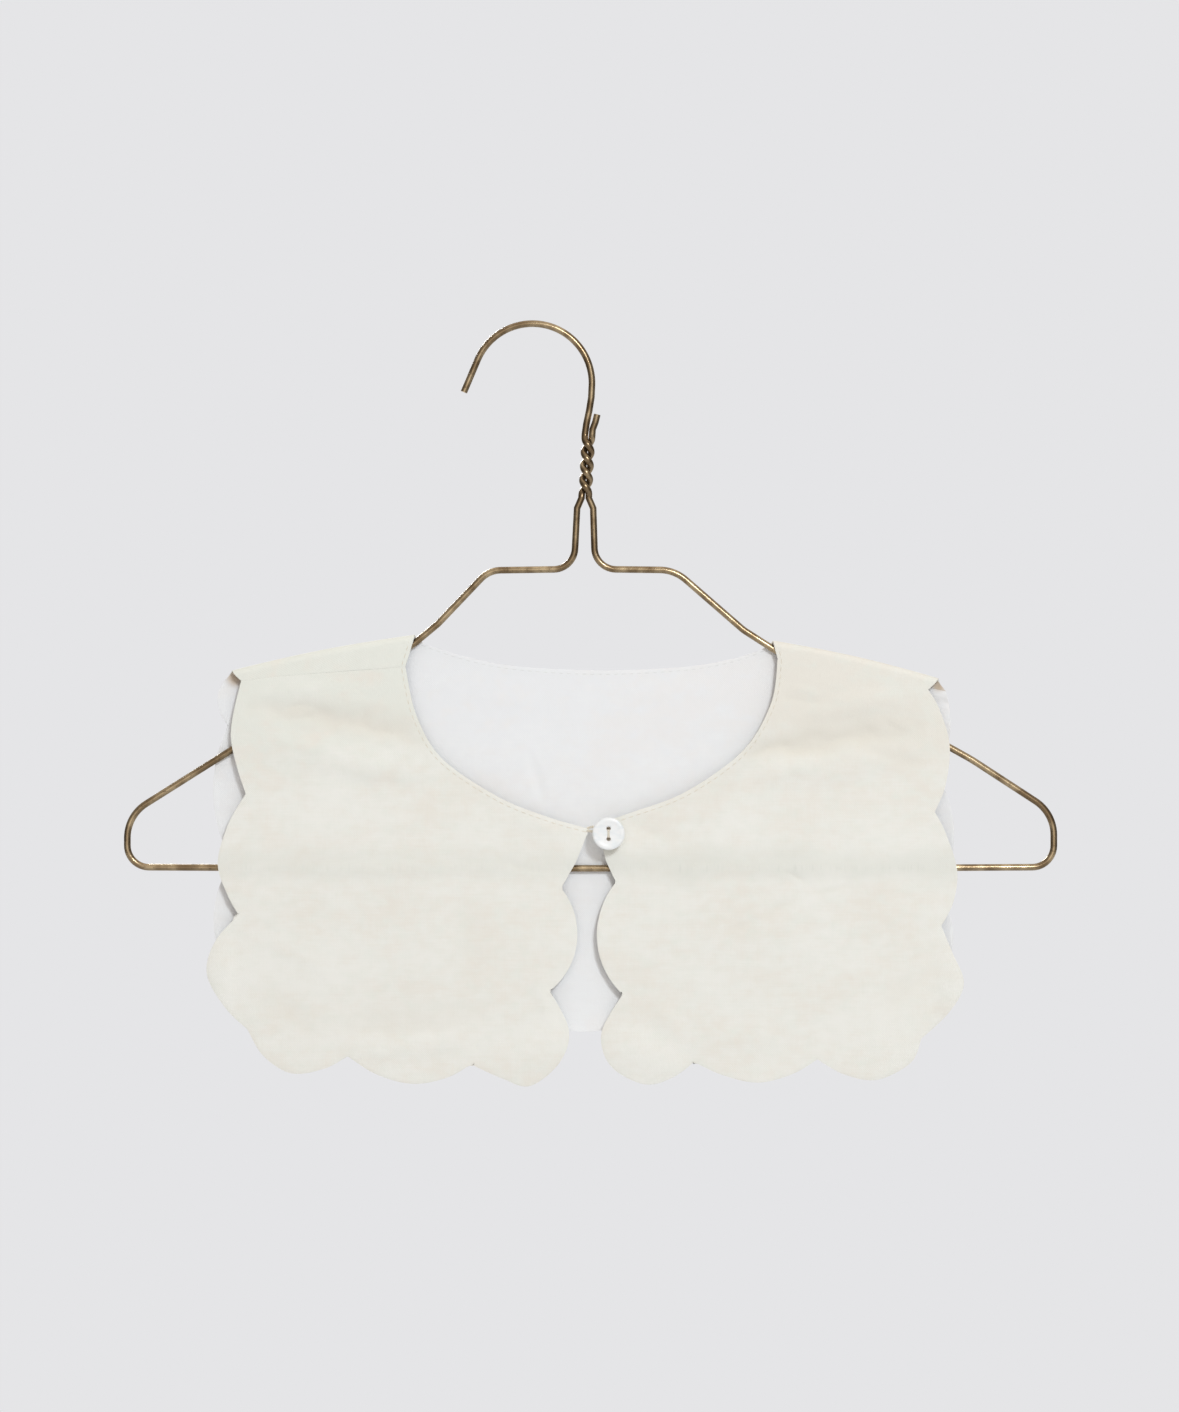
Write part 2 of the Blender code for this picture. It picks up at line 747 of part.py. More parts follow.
def button_loop(group, material):
    """A cord from the left front's corner, round the button's shank and back."""
    over = FOLD_RADIUS + FRONT_WALL + SEAM_GAP + LOOP_CORD_RADIUS + BUTTON_SEAT
    edge = FOLD_RADIUS + FRONT_WALL / 2
    depths = (edge, (edge + over) / 2, over)
    upper = [(x, depth, z) for (x, z), depth in zip(LOOP_UPPER_END, depths)]
    lower = [(x, depth, z) for (x, z), depth in zip(LOOP_LOWER_END, depths)]
    turns = [pi / 2 - pi * step / LOOP_EYE_STEPS for step in range(LOOP_EYE_STEPS + 1)]
    eyelet = [
        (BUTTON_X + LOOP_EYE_RADIUS * cos(turn), over, BUTTON_Z + LOOP_EYE_RADIUS * sin(turn))
        for turn in turns
    ]
    path = [*upper, *eyelet, *reversed(lower)]
    curve = bpy.data.curves.new("button_loop", "CURVE")
    curve.dimensions = "3D"
    curve.bevel_depth = LOOP_CORD_RADIUS * MM
    curve.bevel_resolution = 2
    curve.use_fill_caps = True
    spline = curve.splines.new("POLY")
    spline.points.add(len(path) - 1)
    for point, (x, depth, z) in zip(spline.points, path):
        point.co = (x * MM, -depth * MM, z * MM, 1.0)
    return add_object("button_loop", curve, group, material)


# The lift of the right front's corner, which the button and the loop follow.
BUTTON_SEAT = fold_height(FRONT_FOLDS, BUTTON_X, BUTTON_Z)


def main():
    clear_scene()
    group = new_collection("scalloped_collar")
    cutters = new_collection("cutters")
    cream = finish("cream_cotton", CREAM, 0.9)
    white = finish("white_lining", WHITE, 0.9)
    bronze = finish("bronze_wire", BRONZE, 0.4, 1.0)
    pearl = finish("pearl_button", PEARL, 0.25)
    cord = finish("loop_cord", CREAM, 0.8)
    back = back_lines()
    shell_offset = LINING_WALL + SEAM_GAP
    panel("back_lining", group, white, back, 0.0, LINING_WALL)
    panel("back_panel", group, cream, back, shell_offset, SHELL_WALL)
    panel("front_left", group, cream, front_left_lines(), 0.0, FRONT_WALL)
    panel("front_right", group, cream, front_right_lines(), 0.0, FRONT_WALL)
    hanger_wire(group, bronze)
    button(group, cutters, pearl)
    button_loop(group, cord)


main()
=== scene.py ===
# %% [markdown]
# # A child's scalloped collar on a wire hanger
#
# The collar is a small flat garment: two fronts and a back of cream cotton, lined with white cotton,
# sewn together along their scalloped edges and turned out, then topstitched round the neckline.
# It buttons at the front and hangs over a hanger bent from one length of bronzed wire.
#
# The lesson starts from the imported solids, which fix every size. Each piece of cloth is then made again
# as a thin shell on its solid's form, with the creases and the sewing that the solid leaves out.

from collections import namedtuple
from math import asin, atan2, cos, exp, hypot, pi, radians, sin, tan

import bmesh
import bpy
from mathutils import Matrix, Vector, noise


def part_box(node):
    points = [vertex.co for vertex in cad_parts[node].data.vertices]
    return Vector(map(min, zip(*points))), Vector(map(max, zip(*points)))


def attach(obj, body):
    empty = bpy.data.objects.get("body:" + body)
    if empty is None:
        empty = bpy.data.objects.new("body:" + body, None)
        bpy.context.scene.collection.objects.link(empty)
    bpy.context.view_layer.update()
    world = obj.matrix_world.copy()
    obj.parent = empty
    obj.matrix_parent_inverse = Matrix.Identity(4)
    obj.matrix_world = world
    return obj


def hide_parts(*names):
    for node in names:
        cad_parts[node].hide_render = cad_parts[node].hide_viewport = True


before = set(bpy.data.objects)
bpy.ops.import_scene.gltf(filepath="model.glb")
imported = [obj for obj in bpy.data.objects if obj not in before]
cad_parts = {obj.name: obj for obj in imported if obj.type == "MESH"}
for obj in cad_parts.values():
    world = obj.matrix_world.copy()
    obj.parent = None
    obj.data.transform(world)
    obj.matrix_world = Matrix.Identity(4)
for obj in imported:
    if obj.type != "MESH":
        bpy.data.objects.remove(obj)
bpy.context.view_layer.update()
MM = 0.001

# %% [markdown]
# ## Shader maths
#
# A finish is a small sum of patterns. Node by node it is hard to read, so a class wraps a node's
# output and turns + - * into Math nodes. Every other node comes from one method, which takes its
# kind, its settings and what goes into its sockets.

# %% A class for shader maths


class Flow:
    """One output of a shader node."""

    def __init__(self, bench, socket):
        self.bench, self.socket = bench, socket

    def __add__(self, other):
        return self.bench.math("ADD", self, other)

    def __sub__(self, other):
        return self.bench.math("SUBTRACT", self, other)

    def __rsub__(self, other):
        return self.bench.math("SUBTRACT", other, self)

    def __mul__(self, other):
        return self.bench.math("MULTIPLY", self, other)

    __radd__ = __add__
    __rmul__ = __mul__


class Bench:
    """The nodes of one material, or of the world, while they are being put together."""

    def __init__(self, tree):
        self.tree = tree

    def feed(self, socket, value):
        if isinstance(value, Flow):
            self.tree.links.new(value.socket, socket)
        else:
            socket.default_value = value

    def node(self, kind, settings, sockets, output=0):
        made = self.tree.nodes.new("ShaderNode" + kind)
        for name, value in settings.items():
            setattr(made, name, value)
        for key, value in sockets.items():
            self.feed(made.inputs[key], value)
        return Flow(self, made.outputs[output])

    def math(self, operation, first, second=0.0):
        return self.node("Math", {"operation": operation}, {0: first, 1: second})

    def blend(self, first, second, share):
        return self.node("Mix", {"data_type": "RGBA"}, {0: share, 6: first, 7: second}, 2)

    def stretch(self, place, sizes):
        return self.node("VectorMath", {"operation": "MULTIPLY"}, {0: place, 1: sizes})

    def noise(self, place, sizes, detail=2.0):
        """A noise from 0 to 1 whose lumps have about the given sizes, in metres."""
        shrunk = self.stretch(place, tuple(1.0 / size for size in sizes))
        return self.node("TexNoise", {}, {"Vector": shrunk, "Scale": 1.0, "Detail": detail})

    def ease(self, value, start, end):
        """0 up to start, 1 from end on, and a smooth rise between them."""
        sockets = {"Value": value, "From Min": start, "From Max": end}
        return self.node("MapRange", {"interpolation_type": "SMOOTHSTEP"}, sockets)

    def part(self, place, axis):
        return self.node("SeparateXYZ", {}, {0: place}, "XYZ".index(axis))


class Finish(Bench):
    """A material."""

    def __init__(self, name, constants):
        self.material = bpy.data.materials.new(name)
        self.material.use_nodes = True
        super().__init__(self.material.node_tree)
        self.shader = self.tree.nodes["Principled BSDF"]
        for socket, value in constants.items():
            self.shader.inputs[socket].default_value = value

    def place(self):
        return self.node("TexCoord", {}, {}, "Object")

    def colour(self, value):
        self.feed(self.shader.inputs["Base Color"], value)

    def relief(self, height, depth, strength=1.0):
        sockets = {"Height": height, "Distance": depth, "Strength": strength}
        self.feed(self.shader.inputs["Normal"], self.node("Bump", {}, sockets))


def paint(red, green, blue):
    """A colour as it is seen, from 0 to 255, as the light it reflects."""
    shares = [value / 255 for value in (red, green, blue)]
    linear = [s / 12.92 if s < 0.04045 else ((s + 0.055) / 1.055) ** 2.4 for s in shares]
    return (*linear, 1.0)


print("shader maths is ready; a mid grey is", [round(value, 3) for value in paint(128, 128, 128)])

# %% [markdown]
# ## Cotton
#
# The cloth is a fine plain weave. Its threads are about a third of a millimetre apart, so the weave
# itself is a relief. From a step away little more is seen than clouds, some a shade greener and some
# pinker, and faint slubs: threads that are thicker for a centimetre. All of it follows the cloth's
# own UV map, measured in metres along the threads, so it turns with the cloth over the shoulder. A
# second map holds how deep each place lies in a crease or in a shoulder fold's open end. There a
# darker, warmer painted shade is blended into the colour. The tops of the shoulders get painted shade too.
#
# The cotton is a little sheer, and the hanger's bar lies behind it. A soft, cooler band with ragged
# streaks is painted there as the bar's shadow seen through the cloth, and the finish finds it by its
# height below the rail.

# %% The cotton finishes
THREAD_PITCH = 0.00034
BAR_HEIGHT = -0.1742
BAND_HEIGHT = -0.1730
BAND_HALF_HEIGHT = 0.0078
# The shoulder tops' painted shade grows over UPPER_HEIGHTS; on the right shoulder it fades again over
# SHOULDER_TOP.
UPPER_HEIGHTS = (-0.155, -0.118)
SHOULDER_TOP = (-0.128, -0.110)
RIGHT_OF_MIDDLE = (0.0, 0.04)


def cotton(name, light, warm, cool, shade_paint, bar_shadow_paint, bar_and_shoulder_shade_share, mouth_shade_share):
    finish = Finish(name, {"Roughness": 0.9, "Sheen Weight": 0.1, "Sheen Roughness": 0.5})
    cloth = finish.node("UVMap", {"uv_map": "cloth"}, {})
    across, along = finish.part(cloth, "X"), finish.part(cloth, "Y")
    warp = finish.math("SINE", across * (pi / THREAD_PITCH))
    weft = finish.math("SINE", along * (pi / THREAD_PITCH))
    warp_slubs = finish.noise(cloth, (0.0005, 0.009, 1.0))
    weft_slubs = finish.noise(cloth, (0.011, 0.0005, 1.0))
    clouds = finish.noise(cloth, (0.026, 0.018, 1.0), 3.0)
    mottles = finish.noise(cloth, (0.0048, 0.0034, 1.0), 3.0)
    tints = 0.6 * finish.noise(cloth, (0.0062, 0.0048, 1.0), 3.0) + 0.4 * clouds
    # On the tops of the shoulders the tone is painted darker, as painted shade, and the tint leans cooler
    # on the left and warmer on the right. Below the right shoulder's very top, more painted shade blends
    # in.
    upper = finish.ease(along, *UPPER_HEIGHTS)
    right = finish.ease(across, *RIGHT_OF_MIDDLE)
    lean = upper * (0.18 * right - 0.12)
    tint = finish.blend(cool, warm, finish.ease(tints + lean, 0.37, 0.61))
    tone = 0.42 * clouds + 0.30 * mottles + 0.12 * warp_slubs + 0.16 * weft_slubs + 0.14 * upper
    thread = finish.blend(light, tint, finish.ease(tone, 0.36, 0.66))
    # Painted shade from the shade map: creases, and on the white cotton the shoulder folds' open ends,
    # blend towards the shade colour.
    shades = finish.node("UVMap", {"uv_map": "shade"}, {})
    painted_shade = finish.part(shades, "X") + finish.part(shades, "Y") * mouth_shade_share
    painted_shoulder_shade = upper * right * (1.0 - 0.8 * finish.ease(along, *SHOULDER_TOP))
    thread = finish.blend(thread, shade_paint, painted_shade + 0.42 * painted_shoulder_shade * bar_and_shoulder_shade_share)

    place = finish.place()
    height = finish.part(place, "Z")
    lumps = finish.noise(place, (0.020, 0.02, 0.030), 2.0)
    streaks = finish.noise(place, (0.0009, 0.02, 0.010), 2.0)
    # Painted shadow of the hanger's bar seen through the sheer cloth: a soft band and ragged streaks,
    # stronger on the right, blend towards the bar's shadow colour.
    from_bar = finish.math("ABSOLUTE", height - BAR_HEIGHT)
    spread = finish.math("ABSOLUTE", height - BAND_HEIGHT) + 0.010 * lumps - 0.005
    bar_shadow_band = 1.0 - finish.ease(spread, 0.0, BAND_HALF_HEIGHT)
    ragged_bar_shadow = 1.0 - finish.ease(from_bar + 0.003 * lumps, 0.0008, 0.0036)
    ragged_bar_shadow = ragged_bar_shadow * finish.ease(streaks, 0.50, 0.72)
    share = (0.62 * bar_shadow_band + 0.46 * ragged_bar_shadow) * (0.8 + 0.5 * right) * bar_and_shoulder_shade_share
    finish.colour(finish.blend(thread, bar_shadow_paint, share))
    finish.relief(0.5 * warp * weft + 0.4 * warp_slubs + 0.4 * weft_slubs, 0.00006, 0.6)
    return finish.material


# Each cotton's fourth colour is its painted shade and its fifth is the painted shadow of the bar.
cream_cotton = cotton(
    "cream_cotton", paint(236, 234, 226), paint(231, 226, 215), paint(229, 229, 219),
    paint(227, 222, 210), paint(219, 219, 209), 0.7, 0.0,
)
white_cotton = cotton(
    "white_cotton", paint(237, 237, 236), paint(235, 233, 231), paint(234, 234, 234),
    paint(192, 172, 148), paint(230, 230, 230), 0.0, 1.0,
)
print("cotton finishes:", cream_cotton.name, white_cotton.name)

# %% [markdown]
# ## Outlines of the pieces
#
# The collar hangs nearly flat, so each piece is drawn in the front view, in millimetres from the
# inner top of the hook: x to the right and z up. A scallop runs from one notch, through its crown,
# to the next. None on the fronts is quite round, so each is a smooth curve through a few points. On
# the back an arc does. The solids were built from the same sizes.

# %% Outlines in the front view

# A scallop of a front: its notch, then three points that its curve passes.
Scallop = namedtuple("Scallop", "notch rise crown fall")
# The notch where a scallop of the back starts, and the crown of its arc.
RoundScallop = namedtuple("RoundScallop", "notch_x notch_z crown_x crown_z")
# The top of a shoulder fold, and the ends of the two lines beside it.
Crease = namedtuple("Crease", "neck end front_neck front_end back_neck back_end")
# The straight edge under the neckline's corner, its scallop, and the side of the lower corner.
FrontEdge = namedtuple("FrontEdge", "corner bend notch crown low_notch low_side")

LEFT_CREASE = Crease(
    neck=(-37.9, -99.9), end=(-96.6, -111.4),
    front_neck=(-40.8, -109.5), front_end=(-93.6, -114.1),
    back_neck=(-34.6, -102.2), back_end=(-99.5, -113.9),
)
RIGHT_CREASE = Crease(
    neck=(77.5, -101.8), end=(130.6, -113.9),
    front_neck=(78.9, -107.0), front_end=(127.3, -117.0),
    back_neck=(73.9, -103.9), back_end=(133.4, -117.4),
)
FRONT_LEFT_SCALLOPS = [Scallop(*row) for row in (
    (LEFT_CREASE.front_end, (-96, -124), (-96.9, -132.4), (-94.9, -142)),
    ((-92.1, -150.4), (-97.7, -160), (-101.1, -172.5), (-98.1, -182.5)),
    ((-94.3, -189.4), (-101.6, -197.3), (-104.5, -207.9), (-99, -218.8)),
    ((-91.5, -226.2), (-86.5, -234.6), (-77.5, -240.2), (-66.9, -238.7)),
    ((-59.4, -234.7), (-50.2, -240.5), (-38.5, -243.6), (-27.4, -241.6)),
    ((-19.8, -237.3), (-9.7, -241.8), (-0.7, -244.2), (8.9, -236.5)),
)]
FRONT_LEFT_EDGE = FrontEdge(
    corner=(18.4, -161.6), bend=(13.9, -172.6), notch=(9.3, -180.7),
    crown=(14.4, -197.6), low_notch=(5.7, -213.7), low_side=(11.7, -226.2),
)
FRONT_LEFT_NECK = ((-37.2, -125.3), (-28.8, -139.2), (-10.8, -151.4), (5.3, -157.9))
FRONT_RIGHT_SCALLOPS = [Scallop(*row) for row in (
    (RIGHT_CREASE.front_end, (130.8, -122.9), (134.2, -134.6), (132.9, -147.5)),
    ((129.4, -156.2), (132.9, -162.9), (136.6, -174.8), (135.4, -185.1)),
    ((131.5, -192.9), (135.2, -201.8), (138.6, -211.4), (133.9, -220.7)),
    ((125.1, -229.1), (121.7, -236.8), (110.8, -242.3), (100.2, -240.5)),
    ((91.7, -235.7), (83.5, -240.5), (72.5, -243.2), (61, -240.7)),
    ((52.1, -236.5), (44.9, -241.6), (35.9, -243.6), (25.3, -237.8)),
)]
FRONT_RIGHT_EDGE = FrontEdge(
    corner=(20.8, -160.2), bend=(23.6, -171.6), notch=(26.9, -178.8),
    crown=(20.8, -195.7), low_notch=(29.0, -214.8), low_side=(22.3, -227.2),
)
FRONT_RIGHT_NECK = ((76.8, -121.1), (67.5, -136.6), (49.1, -149.8), (28.8, -157.4))
HEM_LEFT_X, HEM_RIGHT_X, HEM_NOTCH_Z, HEM_CROWN_Z, HEM_COUNT = -78.1, 111.3, -222.3, -227.2, 5
HEM_PITCH = (HEM_RIGHT_X - HEM_LEFT_X) / HEM_COUNT
HEM_NOTCHES = [HEM_LEFT_X + HEM_PITCH * number for number in range(HEM_COUNT)]
BACK_SCALLOPS = (
    RoundScallop(*LEFT_CREASE.back_end, -101.5, -119.0),
    RoundScallop(-98.1, -128.4, -102.9, -153.0),
    RoundScallop(-96.8, -172.4, -102.9, -191.7),
    RoundScallop(-96.8, -209.8, -92.6, -220.3),
    *(RoundScallop(x, HEM_NOTCH_Z, x + HEM_PITCH / 2, HEM_CROWN_Z) for x in HEM_NOTCHES),
    RoundScallop(HEM_RIGHT_X, HEM_NOTCH_Z, 126.5, -221.6),
    RoundScallop(130.7, -212.0, 135.8, -196.9),
    RoundScallop(131.3, -182.4, 136.1, -163.7),
    RoundScallop(130.7, -144.3, 134.8, -130.2),
)
BACK_NECK = ((-21.1, -106.3), (-5.6, -109.2), (21.4, -110.6), (48.5, -109.5), (64.0, -107.0))
# Each front has one scallop more, on its front edge.
front_counts = [len(scallops) + 1 for scallops in (FRONT_LEFT_SCALLOPS, FRONT_RIGHT_SCALLOPS)]
print("scallops on the left front, right front and back:", *front_counts, len(BACK_SCALLOPS))

# %% [markdown]
# ## Drawing the outlines
#
# A scallop cut round a template is an arc through three points. The neckline and the fronts' hems
# were turned by hand, so they are smooth curves. Each helper returns plain points.

# %% Arcs and smooth curves
FINE_STEPS = 24


def arc_through(start, crown, end, steps):
    """Points on the circle through three points, without the last one."""
    (ax, az), (bx, bz), (cx, cz) = start, crown, end
    doubled = 2 * (ax * (bz - cz) + bx * (cz - az) + cx * (az - bz))
    a2, b2, c2 = ax * ax + az * az, bx * bx + bz * bz, cx * cx + cz * cz
    middle_x = (a2 * (bz - cz) + b2 * (cz - az) + c2 * (az - bz)) / doubled
    middle_z = (a2 * (cx - bx) + b2 * (ax - cx) + c2 * (bx - ax)) / doubled
    radius = hypot(ax - middle_x, az - middle_z)
    first = atan2(az - middle_z, ax - middle_x)
    sweep = (atan2(cz - middle_z, cx - middle_x) - first) % (2 * pi)
    if (atan2(bz - middle_z, bx - middle_x) - first) % (2 * pi) > sweep:
        sweep -= 2 * pi
    turns = [first + sweep * step / steps for step in range(steps)]
    return [(middle_x + radius * cos(turn), middle_z + radius * sin(turn)) for turn in turns]


def between(start, end, share):
    return tuple(a + (b - a) * share for a, b in zip(start, end))


def straight(start, end, steps):
    """Points on a straight line, without the last one."""
    return [between(start, end, step / steps) for step in range(steps)]


def reached_along(points):
    """The distance along a line of points at each of them."""
    reached = [0.0]
    for start, end in zip(points, points[1:]):
        reached.append(reached[-1] + (Vector(end) - Vector(start)).length)
    return reached


def shares_along(points):
    """The share of a line's length that is reached at each of its points."""
    reached = reached_along(points)
    return [value / reached[-1] for value in reached]


def points_along(points, fractions):
    """Points at fractions of the length of a line."""
    reached = shares_along(points)
    found = []
    segment = 0
    for fraction in fractions:
        while segment < len(points) - 2 and reached[segment + 1] < fraction:
            segment += 1
        part = (fraction - reached[segment]) / (reached[segment + 1] - reached[segment])
        found.append(between(points[segment], points[segment + 1], part))
    return found


def smooth_curve(points, steps):
    """A smooth curve through a few points, with so many steps from each of them to the next."""
    padded = [points[0], *points, points[-1]]
    curve = []
    for number in range(len(points) - 1):
        before, start, end, after = padded[number:number + 4]
        for step in range(steps):
            t = step / steps
            curve.append(tuple(
                0.5 * (2 * s + (e - b) * t + (2 * b - 5 * s + 4 * e - a) * t * t
                       + (3 * s - b - 3 * e + a) * t ** 3)
                for b, s, e, a in zip(before, start, end, after)
            ))
    return [*curve, points[-1]]


def smooth_line(points, fractions):
    """Points at fractions of the length of a smooth curve."""
    return points_along(smooth_curve(points, FINE_STEPS), fractions)


neckline = smooth_line((LEFT_CREASE.front_neck, *FRONT_LEFT_NECK, FRONT_LEFT_EDGE.corner), (0.0, 0.5, 1.0))
print("half way along the left neckline:", [round(value, 1) for value in neckline[1]])

# %% [markdown]
# ## How the cloth hangs
#
# The fold over each shoulder bends round the wire with a small radius, and below it the cloth is
# nearly flat. A point of the cloth is therefore given by its place in the front view, its side, and
# how far out it lies. To that depth come a few broad folds, which the solids have too, and then the
# creases that the solids leave out.
#
# A crease is a soft, uneven trough or ridge. One flank is steeper than the other, its height
# wavers and it fades at both ends. A flat garment hardly moves in a cloth simulation, and its
# creases are where it was folded and pressed, so each is placed one by one. No trough is so deep that
# the cloth would touch the wire.

# %% Folds and creases
FOLD_RADIUS = 1.4
SETTLING_DROP = 8.0
CREST_RISE = 0.9
CREST_REACH = 6.0
BAR_Z = BAR_HEIGHT / MM
TROUGH_ON_WIRE = -0.22
TROUGH_SLOPE = 0.3
WIRE_CLEAR = 1.6
WIRE_RUNS = (
    ((-38.1, -102.0), (-97.5, -136.6)),
    ((77.5, -103.7), (141.6, -139.4)),
    ((-100.0, BAR_Z), (140.0, BAR_Z)),
)
CREASE_REACH, CREASE_WANDER, CREASE_UNEVENNESS = 5, 0.5, 0.55
RESTING_HEIGHT, WAVE_HEIGHT, RIPPLE_HEIGHT = 0.12, 0.16, 0.025
PUCKER_REACH, PUCKER_HEIGHT, PUCKER_UNEVENNESS = 4.6, 0.05, 0.06
PUCKERS_LEFT, PUCKERS_RIGHT = -98, 132
GENTLE_FLANK = 1.5

# A broad fold: its middle, half length, half width, tilt in degrees, and height outwards.
Fold = namedtuple("Fold", "x z half_length half_width tilt height")
# A crease from one point to another, with its sideways bow, half width and height.
Crinkle = namedtuple("Crinkle", "x0 z0 x1 z1 bow half_width height")

FRONT_FOLDS = [Fold(*row) for row in (
    (-60, -182, 56, 48, 0, 0.8),
    (82, -182, 54, 48, 0, 0.8),
    (-68, -119.5, 27, 5, -9, 0.5),
    (-62, -139, 36, 8, -8, 0.7),
    (104, -121.5, 25, 5, 10, 0.5),
    (98, -141, 32, 8, 10, 0.7),
    (-45, -174.5, 48, 3.5, 0, 0.3),
    (82, -174.5, 48, 3.5, 0, 0.3),
    (70, -132, 24, 7, 58, 1),
    (-101, -208, 18, 7, 90, 0.8),
    (135, -213, 18, 7, 90, 0.8),
    (2, -234, 18, 10, 20, 0.7),
    (34, -234, 18, 10, -20, 0.9),
)]
BACK_FOLDS = [Fold(*row) for row in (
    (18, -182, 70, 46, 0, -0.12),
    (1.5, -145, 12, 3, -75, 0.4),
    (-98, -153, 16, 7, 90, 0.7),
    (132, -164, 16, 7, 90, 0.7),
    (-52, -205, 30, 12, 18, 0.5),
    (86, -200, 30, 12, -24, 0.5),
)]
FRONT_CRINKLES = [Crinkle(*row) for row in (
    (-80, -124.8, -31, -133.9, 1, 3.3, -0.9),
    (-94, -123, -62, -124, -0.8, 2, -0.55),
    (-70, -141, -34, -145.5, 0.8, 2.6, 0.45),
    (-90, -130, -60, -137, -1, 2.2, 0.3),
    (-84, -115.5, -46, -118.5, 0.8, 1.6, 0.25),
    (-97, -176.5, -74, -173, 0.8, 0.9, 0.16),
    (-60, -233, -18, -228.5, -1.2, 2.6, 0.35),
    (-66, -225, -12, -221, -2, 3.5, -0.3),
    (-92, -213, -68, -232, 2, 3.4, -0.22),
    (-88, -197, -62, -214, 3, 2.8, 0.22),
    (-8, -158.5, 14, -166, 1.2, 1.3, 0.24),
    (-14, -170, 10, -176, -1.4, 1.2, -0.16),
    (-2, -206, 6, -232, 2, 2.4, 0.28),
    (-24, -183, -20, -214, 1.6, 3, -0.18),
    (79, -119, 100, -121.5, -0.8, 1, -0.26),
    (82, -116.5, 92, -118, 0.4, 0.8, 0.18),
    (67, -137.3, 100, -135.2, 0.4, 2.5, -1.05),
    (80, -134.2, 127, -130.4, 0.9, 3.3, -0.9),
    (70, -145, 94, -142, 0.8, 2.2, 0.45),
    (104, -133, 127, -141, -1.6, 1.8, -0.4),
    (30, -160.5, 48, -163.5, -1, 1.5, -0.24),
    (29, -157, 46, -158, 0.8, 1.3, 0.2),
    (79.5, -174.8, 88.5, -179.2, 0.4, 0.6, -0.3),
    (90, -182.2, 103, -179.2, -0.6, 0.6, -0.28),
    (74, -189.8, 85.5, -184.8, 0.6, 0.7, -0.22),
    (60, -195, 73, -190.5, -0.6, 0.8, -0.16),
    (106, -176, 116, -172.5, 0.6, 0.8, 0.14),
    (24, -183, 25.5, -208, -3.4, 2.6, 0.34),
    (48, -229, 92, -225, -2.2, 3.2, 0.26),
    (40, -217, 46, -234, 1.4, 2.2, 0.3),
    (112, -222, 134, -207, 2.4, 3, -0.26),
    (100, -196, 128, -188, 2, 2.8, 0.16),
)]
BACK_CRINKLES = [Crinkle(*row) for row in (
    (-1.8, -129, 3.8, -153, 0.6, 1.1, -0.09),
    (2.2, -133, 6.6, -150, 0.4, 1.3, 0.05),
    (-30, -118, 4, -123, 1.4, 2.6, -0.16),
    (30, -121, 62, -116, 1.2, 2.8, -0.16),
    (126, -118.6, 142, -118.2, 0.2, 1.2, -0.75),
    (126, -121.4, 142, -121, 0.2, 0.9, 0.45),
    (-84, -122, -44, -127, -1.6, 2.8, -0.34),
    (78, -128, 120, -123, 1.6, 2.4, -0.36),
    (-70, -139, -36, -134, 1.2, 2.4, 0.26),
    (70, -145, 108, -138, 1.2, 2.2, 0.26),
    (-80, -186, -30, -193, 2, 3.2, -0.26),
    (20, -190, 70, -183, -2.2, 3, 0.24),
    (48, -158, 82, -166, -1.4, 1.8, -0.2),
    (-52, -156, -20, -163, 1.6, 2, 0.2),
    (-64, -214, -34, -203, 2.2, 3, 0.3),
    (60, -212, 104, -206, -2, 3.2, 0.28),
    (-4, -214, 28, -210, 1.6, 2.6, -0.2),
)]


def wander(x, z, size, seed):
    """A smooth value that wanders from about -1 to 1 over a distance in millimetres."""
    return noise.noise(Vector((x / size, z / size, seed)))


def fold_height(fold, x, z):
    turn = radians(fold.tilt)
    across = (x - fold.x) * -sin(turn) + (z - fold.z) * cos(turn)
    along = (x - fold.x) * cos(turn) + (z - fold.z) * sin(turn)
    distance = hypot(along / fold.half_length, across / fold.half_width)
    return fold.height * (1 - distance * distance) ** 2 if distance < 1 else 0.0


def crinkle_height(crinkle, x, z):
    run_x, run_z = crinkle.x1 - crinkle.x0, crinkle.z1 - crinkle.z0
    length = hypot(run_x, run_z)
    along = ((x - crinkle.x0) * run_x + (z - crinkle.z0) * run_z) / length ** 2
    if not 0 < along < 1:
        return 0.0
    across = ((x - crinkle.x0) * -run_z + (z - crinkle.z0) * run_x) / length
    across -= crinkle.bow * 4 * along * (1 - along)
    if abs(across) > CREASE_REACH * crinkle.half_width:
        return 0.0
    across += CREASE_WANDER * crinkle.half_width * wander(x, z, 7.0, crinkle.x0)
    flank = crinkle.half_width * (GENTLE_FLANK if across > 0 else 1.0)
    uneven = 1 + CREASE_UNEVENNESS * wander(x, z, 5.0, crinkle.z0)
    return crinkle.height * uneven * sin(pi * along) ** 0.8 * exp(-(across / flank) ** 2)


def bar_puckers(x, z, side):
    """The small upright crinkles where the cloth lies over the hanger's bottom bar."""
    from_bar = (z - BAR_Z) / PUCKER_REACH
    if abs(from_bar) > 2 or not PUCKERS_LEFT < x < PUCKERS_RIGHT:
        return 0.0
    strength = PUCKER_HEIGHT + PUCKER_UNEVENNESS * wander(x, 0.0, 16.0, 3.0 + side)
    return strength * exp(-from_bar ** 2) * wander(x, z / 9, 1.1, 8.0 + side)


